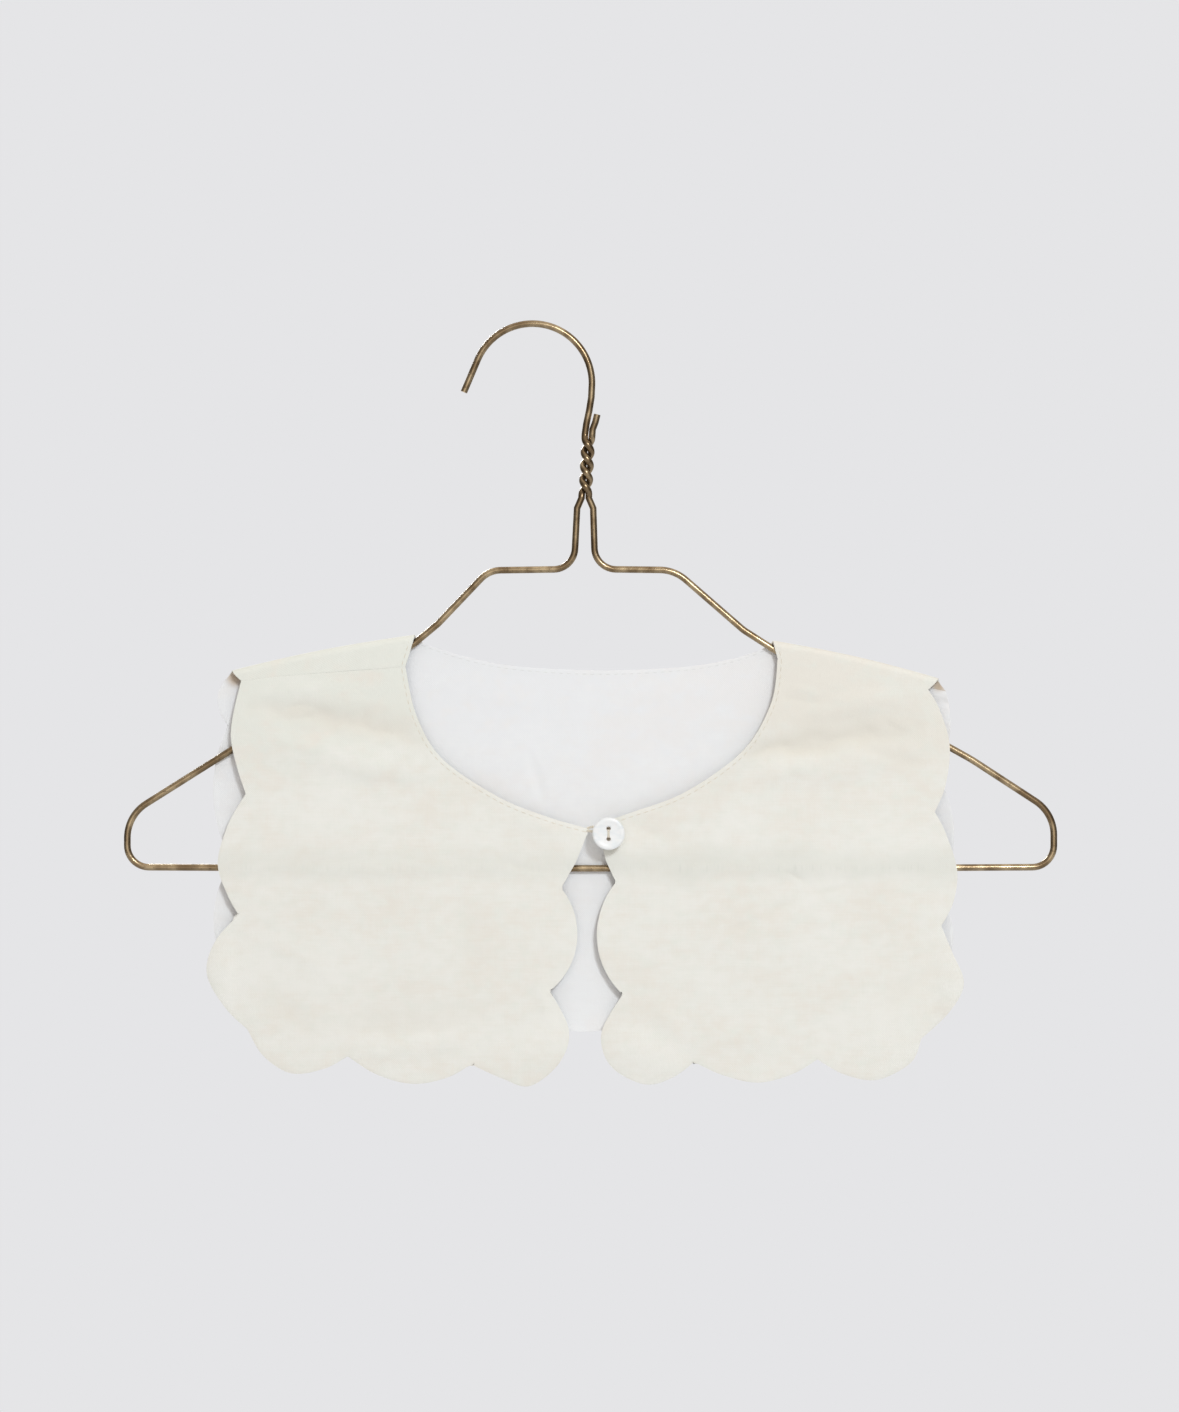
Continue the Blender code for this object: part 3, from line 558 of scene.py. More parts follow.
def hanging(x, z, side):
    """How far the folds and creases lift the cloth outwards, at a place in the front view."""
    folds, crinkles = (FRONT_FOLDS, FRONT_CRINKLES) if side < 0 else (BACK_FOLDS, BACK_CRINKLES)
    height = sum(fold_height(fold, x, z) for fold in folds)
    height += sum(crinkle_height(crinkle, x, z) for crinkle in crinkles)
    waves = wander(x, z, 26.0, 11.0 + side) + 0.5 * wander(x, z, 11.0, 5.0 + side)
    ripples = wander(x, z, 4.0, 2.0 + side)
    height += WAVE_HEIGHT * waves + RIPPLE_HEIGHT * ripples + RESTING_HEIGHT
    return height + bar_puckers(x, z, side)


def deepest(x, z):
    """How far in a trough may go at a place. Near the hanger's straight runs the wire stops it."""
    away = []
    for (start_x, start_z), (end_x, end_z) in WIRE_RUNS:
        run_x, run_z = end_x - start_x, end_z - start_z
        part = ((x - start_x) * run_x + (z - start_z) * run_z) / (run_x * run_x + run_z * run_z)
        part = min(1.0, max(0.0, part))
        away.append(hypot(x - start_x - run_x * part, z - start_z - run_z * part))
    return TROUGH_ON_WIRE - TROUGH_SLOPE * max(0.0, min(away) - WIRE_CLEAR)


heights = [round(hanging(-56.0, z, -1), 2) for z in (-119.0, -127.0, -139.0)]
print("the cloth stands out above, in and below the left trough, mm:", heights)

# %% [markdown]
# ## From the front view to the cloth
#
# Round the shoulder the depth follows a quarter circle on each side of the crease. The inner face
# of every piece lies one fold radius from the wire's plane, and a ply that lies on another is the
# same surface moved out along the bend, so the two never cross. The wire holds a fold up at its ends
# only, and between them the stiff edge stands up by just under a millimetre.

# %% A point of the cloth


def part_along(crease, x):
    return (x - crease.neck[0]) / (crease.end[0] - crease.neck[0])


def crease_height(crease, x):
    """The crease's height at x. It runs on straight past both of its ends."""
    return crease.neck[1] + (crease.end[1] - crease.neck[1]) * part_along(crease, x)


def crease_up(crease):
    """The direction square to the crease, upwards in the front view."""
    run_x, run_z = crease.end[0] - crease.neck[0], crease.end[1] - crease.neck[1]
    length = hypot(run_x, run_z)
    return (-run_z / length, run_x / length) if run_x > 0 else (run_z / length, -run_x / length)


def drop_below(crease, x, z):
    return max(0.0, (crease_height(crease, x) - z) * crease_up(crease)[1])


def crest_rise(crease, x, drop):
    """The folds stand up a little between their ends, where nothing pulls them down."""
    part = part_along(crease, x)
    if not 0 < part < 1:
        return 0.0
    return CREST_RISE * sin(pi * part) * exp(-(drop / CREST_REACH) ** 2)


def nearest_crease(x, z):
    return min((LEFT_CREASE, RIGHT_CREASE), key=lambda crease: drop_below(crease, x, z))


def cloth_point(x, z, side, out):
    """A point of the cloth, in metres. side is -1 on the front and 1 on the back."""
    crease = nearest_crease(x, z)
    drop = drop_below(crease, x, z)
    turn = pi / 2 if drop >= FOLD_RADIUS else pi / 2 - asin(1 - drop / FOLD_RADIUS)
    up_x, up_z = crease_up(crease)
    lift = out * cos(turn)
    depth = (FOLD_RADIUS + out) * sin(turn)
    settled = min(1.0, max(0.0, (drop - FOLD_RADIUS) / SETTLING_DROP))
    if settled > 0:
        depth += max(deepest(x, z), hanging(x, z, side)) * settled
    lift += crest_rise(crease, x, drop)
    return Vector((x + up_x * lift, side * depth, z + up_z * lift)) * MM


shoulder = cloth_point(-67.0, -105.6, -1, 1.0)
print("top of the left shoulder, mm:", [round(value / MM, 1) for value in shoulder])

# %% [markdown]
# ## Lines across a piece
#
# Each piece is laid out as lines that fan out from its neckline to its outer edge. Where it goes over
# the shoulder, more lines follow the crease up, over it and down to the seam on the other side.

# %% Laying out the lines
BEND_TURNS = tuple(range(0, 91, 10))
STRIP_STEPS = 9
SWAY_REACH = 78.0
# A line from the neckline to the outer edge: its points, and its side, front (-1) or back (1).
Line = namedtuple("Line", "points side")


def line_beside(crease, side, drop, shares):
    """A line along the shoulder fold, at a drop below its crease."""
    beside = (crease.front_neck, crease.front_end)
    if side > 0:
        beside = (crease.back_neck, crease.back_end)
    ends = [
        between(top, flat_end, drop / drop_below(crease, *flat_end))
        for top, flat_end in zip((crease.neck, crease.end), beside)
    ]
    return Line([between(*ends, share) for share in shares], side)


def strip(first, last):
    """Lines evenly spread between two others, without those two."""
    shares = [step / STRIP_STEPS for step in range(1, STRIP_STEPS)]
    pairs = list(zip(first.points, last.points))
    return [Line([between(*pair, share) for pair in pairs], last.side) for share in shares]


def shoulder_lines(crease, seam_ends, fan, shares):
    """From the seam up over the crease and down to the fan's first line, and then the fan."""
    seam = Line([between(*seam_ends, share) for share in shares], -fan[0].side)
    drops = [FOLD_RADIUS * (1 - cos(radians(turn))) for turn in BEND_TURNS]
    up = [line_beside(crease, seam.side, drop, shares) for drop in reversed(drops[1:])]
    down = [line_beside(crease, -seam.side, drop, shares) for drop in drops]
    return [seam, *strip(seam, up[0]), *up, *down, *strip(down[-1], fan[0]), *fan]


def fan_lines(inner_points, outer_points, side, shares, edge_points=()):
    """Lines that fan out from the neckline to the outer edge.

    Near the front edge they sway as it does, and less so the further they are from it.
    """
    inner = smooth_line(inner_points, shares_along(outer_points))
    sways = [(0.0, 0.0)] * len(shares)
    if edge_points:
        chord = [between(edge_points[0], edge_points[-1], share) for share in shares]
        sways = [(a - c, b - d) for (a, b), (c, d) in zip(edge_points, chord)]
    reached = reached_along(outer_points)
    lines = []
    for near, far, distance in zip(inner, outer_points, reached):
        strength = max(0.0, 1 - (reached[-1] - distance) / SWAY_REACH) ** 2
        points = []
        for share, (sway_x, sway_z) in zip(shares, sways):
            x, z = between(near, far, share)
            points.append((x + sway_x * strength, z + sway_z * strength))
        lines.append(Line(points, side))
    return lines


# %% The lines of each piece
SEAM_GAP = 0.03
CURVE_STEPS = 11
SCALLOP_STEPS = 44
EDGE_STEPS = 12
BACK_SCALLOP_STEPS = 30
BACK_ROWS = 92


def front_outline(scallops, edge):
    """A front's scalloped edge and its front edge, which meet at the lower corner's crown."""
    *whole, corner = scallops
    outer = []
    for row, following in zip(whole, scallops[1:]):
        outer += smooth_curve((*row, following.notch), CURVE_STEPS)[:-1]
    low = smooth_curve((*corner, edge.low_side, edge.low_notch), CURVE_STEPS)
    crown = CURVE_STEPS * corner.index(corner.crown)
    opening = [
        *straight(edge.corner, edge.bend, EDGE_STEPS),
        *straight(edge.bend, edge.notch, EDGE_STEPS),
        *arc_through(edge.notch, edge.crown, edge.low_notch, SCALLOP_STEPS),
        *reversed(low[crown:]),
    ]
    return [*outer, *low[:crown + 1]], opening


def lowered(point, drop):
    return point[0], point[1] - drop


def front_left_lines():
    outer, opening = front_outline(FRONT_LEFT_SCALLOPS, FRONT_LEFT_EDGE)
    outer[0] = lowered(outer[0], SEAM_GAP)
    neck = (lowered(LEFT_CREASE.front_neck, SEAM_GAP), *FRONT_LEFT_NECK, FRONT_LEFT_EDGE.corner)
    return fan_lines(neck, outer, -1, shares_along(opening), opening)


def front_right_lines():
    outer, opening = front_outline(FRONT_RIGHT_SCALLOPS, FRONT_RIGHT_EDGE)
    shares = shares_along(opening)
    neck = (RIGHT_CREASE.front_neck, *FRONT_RIGHT_NECK, FRONT_RIGHT_EDGE.corner)
    fan = fan_lines(neck, outer, -1, shares, opening)
    seam_ends = (lowered(RIGHT_CREASE.back_neck, -SEAM_GAP), lowered(RIGHT_CREASE.back_end, -SEAM_GAP))
    return shoulder_lines(RIGHT_CREASE, seam_ends, fan, shares)


def back_lines():
    shares = [row / BACK_ROWS for row in range(BACK_ROWS + 1)]
    notches = [*(row[:2] for row in BACK_SCALLOPS), RIGHT_CREASE.back_end]
    outer = []
    for row, following in zip(BACK_SCALLOPS, notches[1:]):
        outer += arc_through(row[:2], row[2:], following, BACK_SCALLOP_STEPS)
    outer.append(notches[-1])
    fan = fan_lines((LEFT_CREASE.back_neck, *BACK_NECK, RIGHT_CREASE.back_neck), outer, 1, shares)
    seam_ends = (LEFT_CREASE.front_neck, LEFT_CREASE.front_end)
    return shoulder_lines(LEFT_CREASE, seam_ends, fan, shares)


LINES = {"left": front_left_lines(), "right": front_right_lines(), "back": back_lines()}
for name, lines in LINES.items():
    print(name, "piece:", len(lines), "lines of", len(lines[0].points), "points")

# %% [markdown]
# ## A piece of cloth
#
# A flat grid is laid over the lines, so the operator makes the faces and each point only moves
# to its place. One UV map holds the distance along the threads and the other the shade of creases
# and of the shoulder folds' open ends. Solidify then thickens the cloth away from the wire, and a
# small bevel rounds the turned edge. Each front is one wall, cream outside and white inside.

# %% Making a piece of cloth
PLY = 0.38
PLY_GAP = 0.06
FRONT_WALL = 2 * PLY + PLY_GAP
ROLL_WIDTH = 1.5
ROLL_DEPTH = 0.06
RELAX_STEPS = 120
EDGE_ROUNDING = 0.32


def edge_roll(points, row):
    """How far a piece rolls in towards the wire, near the turned edges where a line ends."""
    x, z = points[row]
    distance = min(hypot(x - end_x, z - end_z) for end_x, end_z in (points[0], points[-1]))
    return ROLL_DEPTH * exp(-(distance / ROLL_WIDTH) ** 2)


def flat_grid(lines):
    """A grid laid over the lines in the front view, in millimetres, and each point's column and row.

    Where scallops swell past their notches, fan lines would cross, so the grid is relaxed there.
    """
    columns, rows = len(lines) - 1, len(lines[0].points) - 1
    sheet = bmesh.new()
    bmesh.ops.create_grid(sheet, x_segments=columns, y_segments=rows, size=0.5)
    places = {}
    fan_start = next(n for n in range(len(lines)) if all(o.side == lines[-1].side for o in lines[n:]))
    if fan_start:
        fan_start += 2 * STRIP_STEPS
    inner = []
    for vert in sheet.verts:
        column, row = round((vert.co.x + 0.5) * columns), round((vert.co.y + 0.5) * rows)
        places[vert] = (column, row)
        x, z = lines[column].points[row]
        vert.co = (x, 0.0, z)
        if fan_start < column < columns and 0 < row < rows:
            inner.append(vert)
    for step in range(RELAX_STEPS):
        bmesh.ops.smooth_vert(sheet, verts=inner, factor=0.5, use_axis_x=True, use_axis_z=True)
    return sheet, places


# The open end of a shoulder fold: its middle, its radius and how dark it is.
Mouth = namedtuple("Mouth", "x z radius shade")
MOUTHS = (Mouth(-95.6, -112.6, 3.2, 0.9), Mouth(131.0, -114.8, 2.4, 0.85))
FULL_SHADE_DEPTH = 1.1
LINING_SHADE = 0.12


def crease_shade(x, z, side, inward):
    """How much of the light a place loses in a crease, from 0 to 1."""
    crinkles = FRONT_CRINKLES if side < 0 else BACK_CRINKLES
    lifted = sum(crinkle_height(crinkle, x, z) for crinkle in crinkles)
    lost = (max(0.0, lifted if inward else -lifted) / FULL_SHADE_DEPTH) ** 0.75
    return min(1.0, lost * LINING_SHADE if inward else lost)


def mouth_shade(x, z):
    """How much of the light a place loses inside the open end of a shoulder fold, from 0 to 1."""
    return sum(
        mouth.shade * exp(-(hypot(x - mouth.x, z - mouth.z) / mouth.radius) ** 4) for mouth in MOUTHS
    )


def cloth_sheet(lines, out, inward):
    """The grid of a piece, in its place, with the maps of its threads and of its shade."""
    sheet, places = flat_grid(lines)
    threads, shades = {}, {}
    for vert, (column, row) in places.items():
        side = lines[column].side
        x, z = vert.co.x, vert.co.z
        over = crease_height(nearest_crease(x, z), x)
        along = z if side == lines[-1].side else 2 * over - z
        threads[vert] = Vector((x, along)) * MM
        shades[vert] = Vector((crease_shade(x, z, side, inward), mouth_shade(x, z)))
        vert.co = cloth_point(x, z, side, out - edge_roll(lines[column].points, row))
    for name, values in (("cloth", threads), ("shade", shades)):
        layer = sheet.loops.layers.uv.new(name)
        for face in sheet.faces:
            for loop in face.loops:
                loop[layer].uv = values[loop.vert]
    sheet.normal_update()
    if sum(face.calc_area() * face.normal.y for face in sheet.faces) * lines[-1].side < 0:
        bmesh.ops.reverse_faces(sheet, faces=sheet.faces)
    return sheet


def as_mesh(name, shape):
    """The finished shape as a mesh. The shape itself is freed."""
    mesh = bpy.data.meshes.new(name)
    shape.to_mesh(mesh)
    shape.free()
    return mesh


def add_object(name, data):
    added = bpy.data.objects.new(name, data)
    bpy.context.scene.collection.objects.link(added)
    return added


def add_piece(name, mesh, finishes, node):
    """Puts a finished mesh in the scene, riding on the part, in place of its solid."""
    piece = add_object(name, mesh)
    for finish in finishes:
        mesh.materials.append(finish)
    mesh.shade_smooth()
    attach(piece, "root")
    if node:
        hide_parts(node)
    return piece


def cloth_piece(name, lines, out, wall, finishes, node, inward=False):
    sheet = cloth_sheet(lines, out, inward)
    area = sum(face.calc_area() for face in sheet.faces)
    piece = add_piece(name, as_mesh(name, sheet), finishes, node)
    thickness = piece.modifiers.new("thickness", "SOLIDIFY")
    thickness.thickness = wall * MM
    thickness.offset = 1.0
    thickness.material_offset = len(finishes) - 1
    turned_edge = piece.modifiers.new("turned_edge", "BEVEL")
    turned_edge.width = EDGE_ROUNDING * wall * MM
    turned_edge.segments = 2
    turned_edge.limit_method = "ANGLE"
    turned_edge.angle_limit = radians(50)
    print(f"{name}: {area * 1e4:.1f} square cm, its wall {wall:.2f} mm thick")
    return piece


both = (cream_cotton, white_cotton)
front_left = cloth_piece(
    "left_front_cotton", LINES["left"], 0.0, FRONT_WALL, both, "front_left"
)
front_right = cloth_piece(
    "right_front_cotton", LINES["right"], 0.0, FRONT_WALL, both, "front_right"
)
lining = cloth_piece(
    "back_lining_cotton", LINES["back"], 0.0, PLY, (white_cotton,), "back_lining",
    inward=True,
)
back = cloth_piece(
    "back_cotton", LINES["back"], PLY + PLY_GAP, PLY, (cream_cotton,), "back_panel"
)

# %% [markdown]
# ## Topstitching
#
# Round the whole neckline runs a row of topstitching, a good millimetre from the edge. A stitch is a
# short piece of thread pressed into the cloth, so each is a sphere drawn out along the row. It shows
# on both faces, because a lockstitch has a thread on each.

# %% The thread's finish and the stitches
STITCH_PITCH = 2.5
STITCH_LENGTH = 1.75
STITCH_RADIUS = 0.13
STITCH_INSET = 1.3
STITCH_START = 0.15


def thread_finish(name, light, dark):
    finish = Finish(name, {"Roughness": 0.75, "Sheen Weight": 0.2})
    fibres = finish.noise(finish.place(), (0.0002, 0.0002, 0.0002), 3.0)
    finish.colour(finish.blend(light, dark, finish.ease(fibres, 0.35, 0.7)))
    finish.relief(fibres, 0.00005, 0.6)
    return finish.material


cream_thread = thread_finish("cream_thread", paint(226, 218, 202), paint(210, 201, 183))
white_thread = thread_finish("white_thread", paint(229, 228, 226), paint(216, 215, 212))


def stitch_row(lines, out):
    """The path of the row on one face of a piece, as points on the cloth."""
    path = []
    for line in lines:
        reached = reached_along(line.points)
        x, z = points_along(line.points, [STITCH_INSET / reached[-1]])[0]
        path.append(cloth_point(x, z, line.side, out))
    return path


def stitches(name, path, finish):
    thread = bmesh.new()
    length = reached_along(path)[-1] / MM
    count = int(length / STITCH_PITCH)
    for number in range(count):
        start = (number + STITCH_START) * length / count
        ends = points_along(path, [start / length, (start + STITCH_LENGTH) / length])
        first, last = map(Vector, ends)
        turn = (last - first).to_track_quat("Z", "Y").to_matrix().to_4x4()
        shape = Matrix.Diagonal((STITCH_RADIUS, STITCH_RADIUS, STITCH_LENGTH / 2, 1 / MM)) * MM
        place = Matrix.Translation((first + last) / 2) @ turn @ shape
        bmesh.ops.create_uvsphere(thread, u_segments=8, v_segments=6, radius=1.0, matrix=place)
    print(f"{name}: {count} stitches over {length:.0f} mm")
    return add_piece(name, as_mesh(name, thread), (finish,), None)


SINK = 0.04
# How far out each face of a piece lies, with its thread and its slot.
FACES = {
    "front": (FRONT_WALL - SINK, cream_thread, "cream_cotton"),
    "lining": (SINK, white_thread, "white_lining"),
}


def sewn(name, piece, face):
    out, finish, slot = FACES[face]
    return stitches(name, stitch_row(LINES[piece], out), finish)


left_stitches, right_stitches = (
    [sewn(f"{piece}_{face}_stitches", piece, face) for face in FACES] for piece in ("left", "right")
)
lining_stitches = sewn("back_lining_stitches", "back", "lining")
back_stitches = sewn("back_stitches", "back", "front")

# %% [markdown]
# ## The hanger
#
# The hanger is one length of wire: hook, twist, left arm, bar, right arm, twist again, and a cut
# end beside the shank. It is a curve with a round bevel, whose points are the bends that a jig gives
# the real wire. It becomes a mesh, so that its place is in its points.

# %% The wire's finish
WIRE_RADIUS = 1.1


def bronze_wire():
    finish = Finish("bronze_wire", {"Metallic": 0.9, "Roughness": 0.3})
    place = finish.place()
    patina = finish.noise(place, (0.006, 0.006, 0.006), 4.0)
    specks = finish.noise(place, (0.0007, 0.0007, 0.0007), 2.0)
    brown = finish.blend(paint(121, 101, 75), paint(178, 158, 126), finish.ease(patina, 0.35, 0.70))
    finish.colour(finish.blend(brown, paint(78, 62, 46), finish.ease(specks, 0.58, 0.75) * 0.6))
    finish.feed(finish.shader.inputs["Roughness"], 0.15 + 0.20 * specks)
    finish.relief(specks + 0.4 * patina, 0.00004, 0.5)
    return finish.material


# %% The wire's path
# A corner of the wire before it is rounded, and the radius that rounds it.
Bend = namedtuple("Bend", "x z radius")

HOOK_RADIUS = 19.2
HOOK_END_TURN = radians(157)
HOOK_STEPS = 48
HOOK_TIP_RUN = 11.3
SHANK = ((19.0, -22.6), (18.3, -27.0), (17.4, -31.2))
STUB = ((19.4, -33.0), (20.3, -30.6), (20.9, -28.2))
TWIST_TOP = (18.1, -34.5)
TWIST_BOTTOM = (17.0, -55.1)
TWIST_TURNS = 2.0
TWIST_STEPS = 72
TWIST_EASE = 0.13
STRAND_RADIUS = WIRE_RADIUS + 0.08
BEND_STEPS = 12
BENDS = [Bend(*row) for row in (
    (14.4, -58.4, 0),
    (13.4, -78, 7),
    (-14, -78.4, 9),
    (-30.4, -95.6, 14),
    (-38.1, -102, 5),
    (-97.5, -136.6, 60),
    (-130.5, -157.4, 13),
    (-130.5, -174, 7),
    (-62, -174.4, 0),
    (100, -174.4, 0),
    (168, -174, 7),
    (168, -156.6, 13),
    (141.6, -139.4, 60),
    (77.5, -103.7, 5),
    (68, -97.6, 12),
    (45.8, -78.3, 13),
    (20.2, -78, 7),
    (19.6, -58.4, 0),
)]


def rounded(corners):
    """The wire's middle line, with an arc of the given radius at each inner corner."""
    points = [corners[0][:2]]
    for before, corner, after in zip(corners, corners[1:], corners[2:]):
        here = Vector(corner[:2])
        if corner.radius == 0:
            points.append(corner[:2])
            continue
        back_way = (Vector(before[:2]) - here).normalized()
        ahead = (Vector(after[:2]) - here).normalized()
        half_turn = (pi - back_way.angle(ahead)) / 2
        reach = corner.radius * tan(half_turn)
        first, last = here + back_way * reach, here + ahead * reach
        middle = here + (back_way + ahead).normalized() * corner.radius * (1 / cos(half_turn) - 1)
        points += [*arc_through(tuple(first), tuple(middle), tuple(last), BEND_STEPS), tuple(last)]
    return [*points, corners[-1][:2]]


def eased(part):
    """The share of the turns reached at a part of the twist, slower at both of its ends."""
    steady = 1 - TWIST_EASE
    if part < TWIST_EASE:
        return part * part / (2 * TWIST_EASE * steady)
    if part > 1 - TWIST_EASE:
        return 1 - (1 - part) ** 2 / (2 * TWIST_EASE * steady)
    return (part - TWIST_EASE / 2) / steady


def strand(start_turn):
    """One strand of the twist, from its top to its bottom."""
    points = []
    for step in range(TWIST_STEPS + 1):
        part = step / TWIST_STEPS
        turn = start_turn - 2 * pi * TWIST_TURNS * eased(part)
        x, z = between(TWIST_TOP, TWIST_BOTTOM, part)
        points.append((x + STRAND_RADIUS * cos(turn), -STRAND_RADIUS * sin(turn), z))
    return points


def flat(points):
    return [(x, 0.0, z) for x, z in points]


def wire_path():
    middle_z = WIRE_RADIUS - HOOK_RADIUS
    turns = [HOOK_END_TURN * (1 - step / HOOK_STEPS) for step in range(HOOK_STEPS + 1)]
    arc = [(HOOK_RADIUS * cos(turn), middle_z + HOOK_RADIUS * sin(turn)) for turn in turns]
    tip = (arc[0][0] - HOOK_TIP_RUN * sin(HOOK_END_TURN), arc[0][1] + HOOK_TIP_RUN * cos(HOOK_END_TURN))
    first, second = strand(pi), strand(0.0)
    ends = [Bend(points[-1][0], points[-1][2], 0) for points in (first, second)]
    loop = flat(rounded([ends[0], *BENDS, ends[1]])[1:-1])
    return [*flat([tip, *arc, *SHANK]), *first, *loop, *reversed(second), *flat(STUB)]


def evaluated_mesh(drawn):
    now = drawn.evaluated_get(bpy.context.evaluated_depsgraph_get())
    return bpy.data.meshes.new_from_object(now)


def round_rod(name, paths, radius, finish, node):
    """Round rods of one radius along paths in millimetres, as one mesh."""
    curve = bpy.data.curves.new(name, "CURVE")
    curve.dimensions = "3D"
    curve.bevel_depth = radius * MM
    curve.bevel_resolution = 6
    curve.use_fill_caps = True
    curve.twist_smooth = 0.0
    for path in paths:
        spline = curve.splines.new("POLY")
        spline.points.add(len(path) - 1)
        for point, place in zip(spline.points, path):
            point.co = (*(Vector(place) * MM), 1.0)
    drawn = add_object(name + "_drawn", curve)
    mesh = evaluated_mesh(drawn)
    bpy.data.objects.remove(drawn)
    print(f"{name}: {sum(reached_along(path)[-1] for path in paths):.0f} mm of rod")
    return add_piece(name, mesh, (finish,), node)


round_rod("bent_wire", [wire_path()], WIRE_RADIUS, bronze_wire(), "hanger_wire")

# %% [markdown]
# ## The button
#
# A shirt button is turned from a disc: a rim, a shallow dish and a rounded edge. Its half section
# is spun round, and two drills cut its holes. The thread goes through the holes and down to the cloth.

# %% The button's finish and shape
BUTTON_RADIUS = 5.2
BUTTON_THICKNESS = 2.3
BUTTON_RIM, BUTTON_DISH, BUTTON_EDGE = 1.4, 0.28, 0.5
BUTTON_X = 24.5
BUTTON_Z = -163.0
HOLE_RADIUS = 0.62
HOLE_SPACING = 3.3
LOOP_RADIUS = 0.5


def pearl_finish():
    """Pearly plastic, with painted brown shade in the two holes."""
    finish = Finish("pearl_button", {"Roughness": 0.3, "Coat Weight": 0.3, "Coat Roughness": 0.15})
    place = finish.place()
    layers = finish.noise(place, (0.0035, 0.01, 0.0012), 3.0)
    spots = finish.noise(place, (0.002, 0.002, 0.002), 2.0)
    milk = finish.blend(paint(240, 240, 238), paint(231, 234, 234), finish.ease(layers, 0.4, 0.7))
    milk = finish.blend(milk, paint(240, 235, 232), finish.ease(spots, 0.5, 0.8) * 0.6)
    # Painted shade in the holes: within each hole's radius, seen from the front, the colour turns brown.
    seen_flat = finish.stretch(place, (1.0, 0.0, 1.0))
    for way in (-0.5, 0.5):
        middle = (BUTTON_X * MM, 0.0, (BUTTON_Z + way * HOLE_SPACING) * MM)
        sockets = {0: seen_flat, 1: middle}
        away = finish.node("VectorMath", {"operation": "DISTANCE"}, sockets, "Value")
        outside_holes = finish.ease(away, HOLE_RADIUS * MM, (HOLE_RADIUS + 0.12) * MM)
        milk = finish.blend(paint(164, 138, 114), milk, outside_holes)
    finish.colour(milk)
    return finish.material


button_foot = -cloth_point(BUTTON_X, BUTTON_Z, -1, FRONT_WALL).y / MM


def button_seat():
    """How far the button's back stands in front of the wire's plane."""
    solid_front = -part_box("button")[0].y / MM
    return max(button_foot + 2 * LOOP_RADIUS + 0.2, solid_front - BUTTON_THICKNESS)


def turned_button(seat):
    # Points of the half section: how far each lies in from the rim, and below the rim's top.
    profile = (
        (BUTTON_RADIUS, BUTTON_DISH),
        (BUTTON_RIM + 1.1, BUTTON_DISH),
        (BUTTON_RIM + 0.4, 0.6 * BUTTON_DISH),
        (BUTTON_RIM, 0.12),
        (0.75 * BUTTON_RIM, 0),
        (BUTTON_EDGE, 0.06),
        (0.35 * BUTTON_EDGE, 0.35 * BUTTON_EDGE),
        (0, BUTTON_EDGE),
        (0, BUTTON_THICKNESS - 1),
        (0.8, BUTTON_THICKNESS),
        (BUTTON_RADIUS, BUTTON_THICKNESS),
    )
    disc = bmesh.new()
    points = [
        disc.verts.new(Vector((BUTTON_RADIUS - inwards, below - BUTTON_THICKNESS, 0.0)) * MM)
        for inwards, below in profile
    ]
    edges = [disc.edges.new(pair) for pair in zip(points, points[1:])]
    full_turn = {"cent": (0, 0, 0), "axis": (0, 1, 0), "angle": 2 * pi, "steps": 72}
    bmesh.ops.spin(disc, geom=points + edges, use_merge=True, **full_turn)
    bmesh.ops.remove_doubles(disc, verts=disc.verts, dist=0.001 * MM)
    bmesh.ops.recalc_face_normals(disc, faces=disc.faces)
    bmesh.ops.translate(disc, verts=disc.verts, vec=Vector((BUTTON_X, -seat, BUTTON_Z)) * MM)
    blank = add_object("turned_button_blank", as_mesh("turned_button", disc))
    drills = bmesh.new()
    for way in (-0.5, 0.5):
        centre = Vector((BUTTON_X, -seat - BUTTON_THICKNESS / 2, BUTTON_Z + way * HOLE_SPACING)) * MM
        place = Matrix.Translation(centre) @ Matrix.Rotation(pi / 2, 4, "X")
        radii = {"radius1": HOLE_RADIUS * MM, "radius2": HOLE_RADIUS * MM}
        depth = 2 * BUTTON_THICKNESS * MM
        bmesh.ops.create_cone(drills, cap_ends=True, segments=24, depth=depth, matrix=place, **radii)
    drill = add_object("drills", as_mesh("drills", drills))
    holes = blank.modifiers.new("holes", "BOOLEAN")
    holes.operation = "DIFFERENCE"
    holes.object = drill
    bpy.context.view_layer.update()
    drilled = evaluated_mesh(blank)
    for spare in (blank, drill):
        bpy.data.objects.remove(spare)
    print(f"button: {len(drilled.polygons)} faces, its back {seat:.1f} mm before the wire's plane")
    return add_piece("turned_button", drilled, (pearl_finish(),), "button")


seat = button_seat()
turned_button(seat)

# %% Thread through the holes, and the loop
THREAD_RADIUS = 0.15
STRAND_PITCH = 0.24
LOOP_EYE_RADIUS = 1.7
LOOP_PLY_RADIUS = 0.26
LOOP_STEPS = 120
LOOP_TWISTS = 14
LOOP_PLY_ALONG, LOOP_PLY_ASIDE = 0.11, 0.2


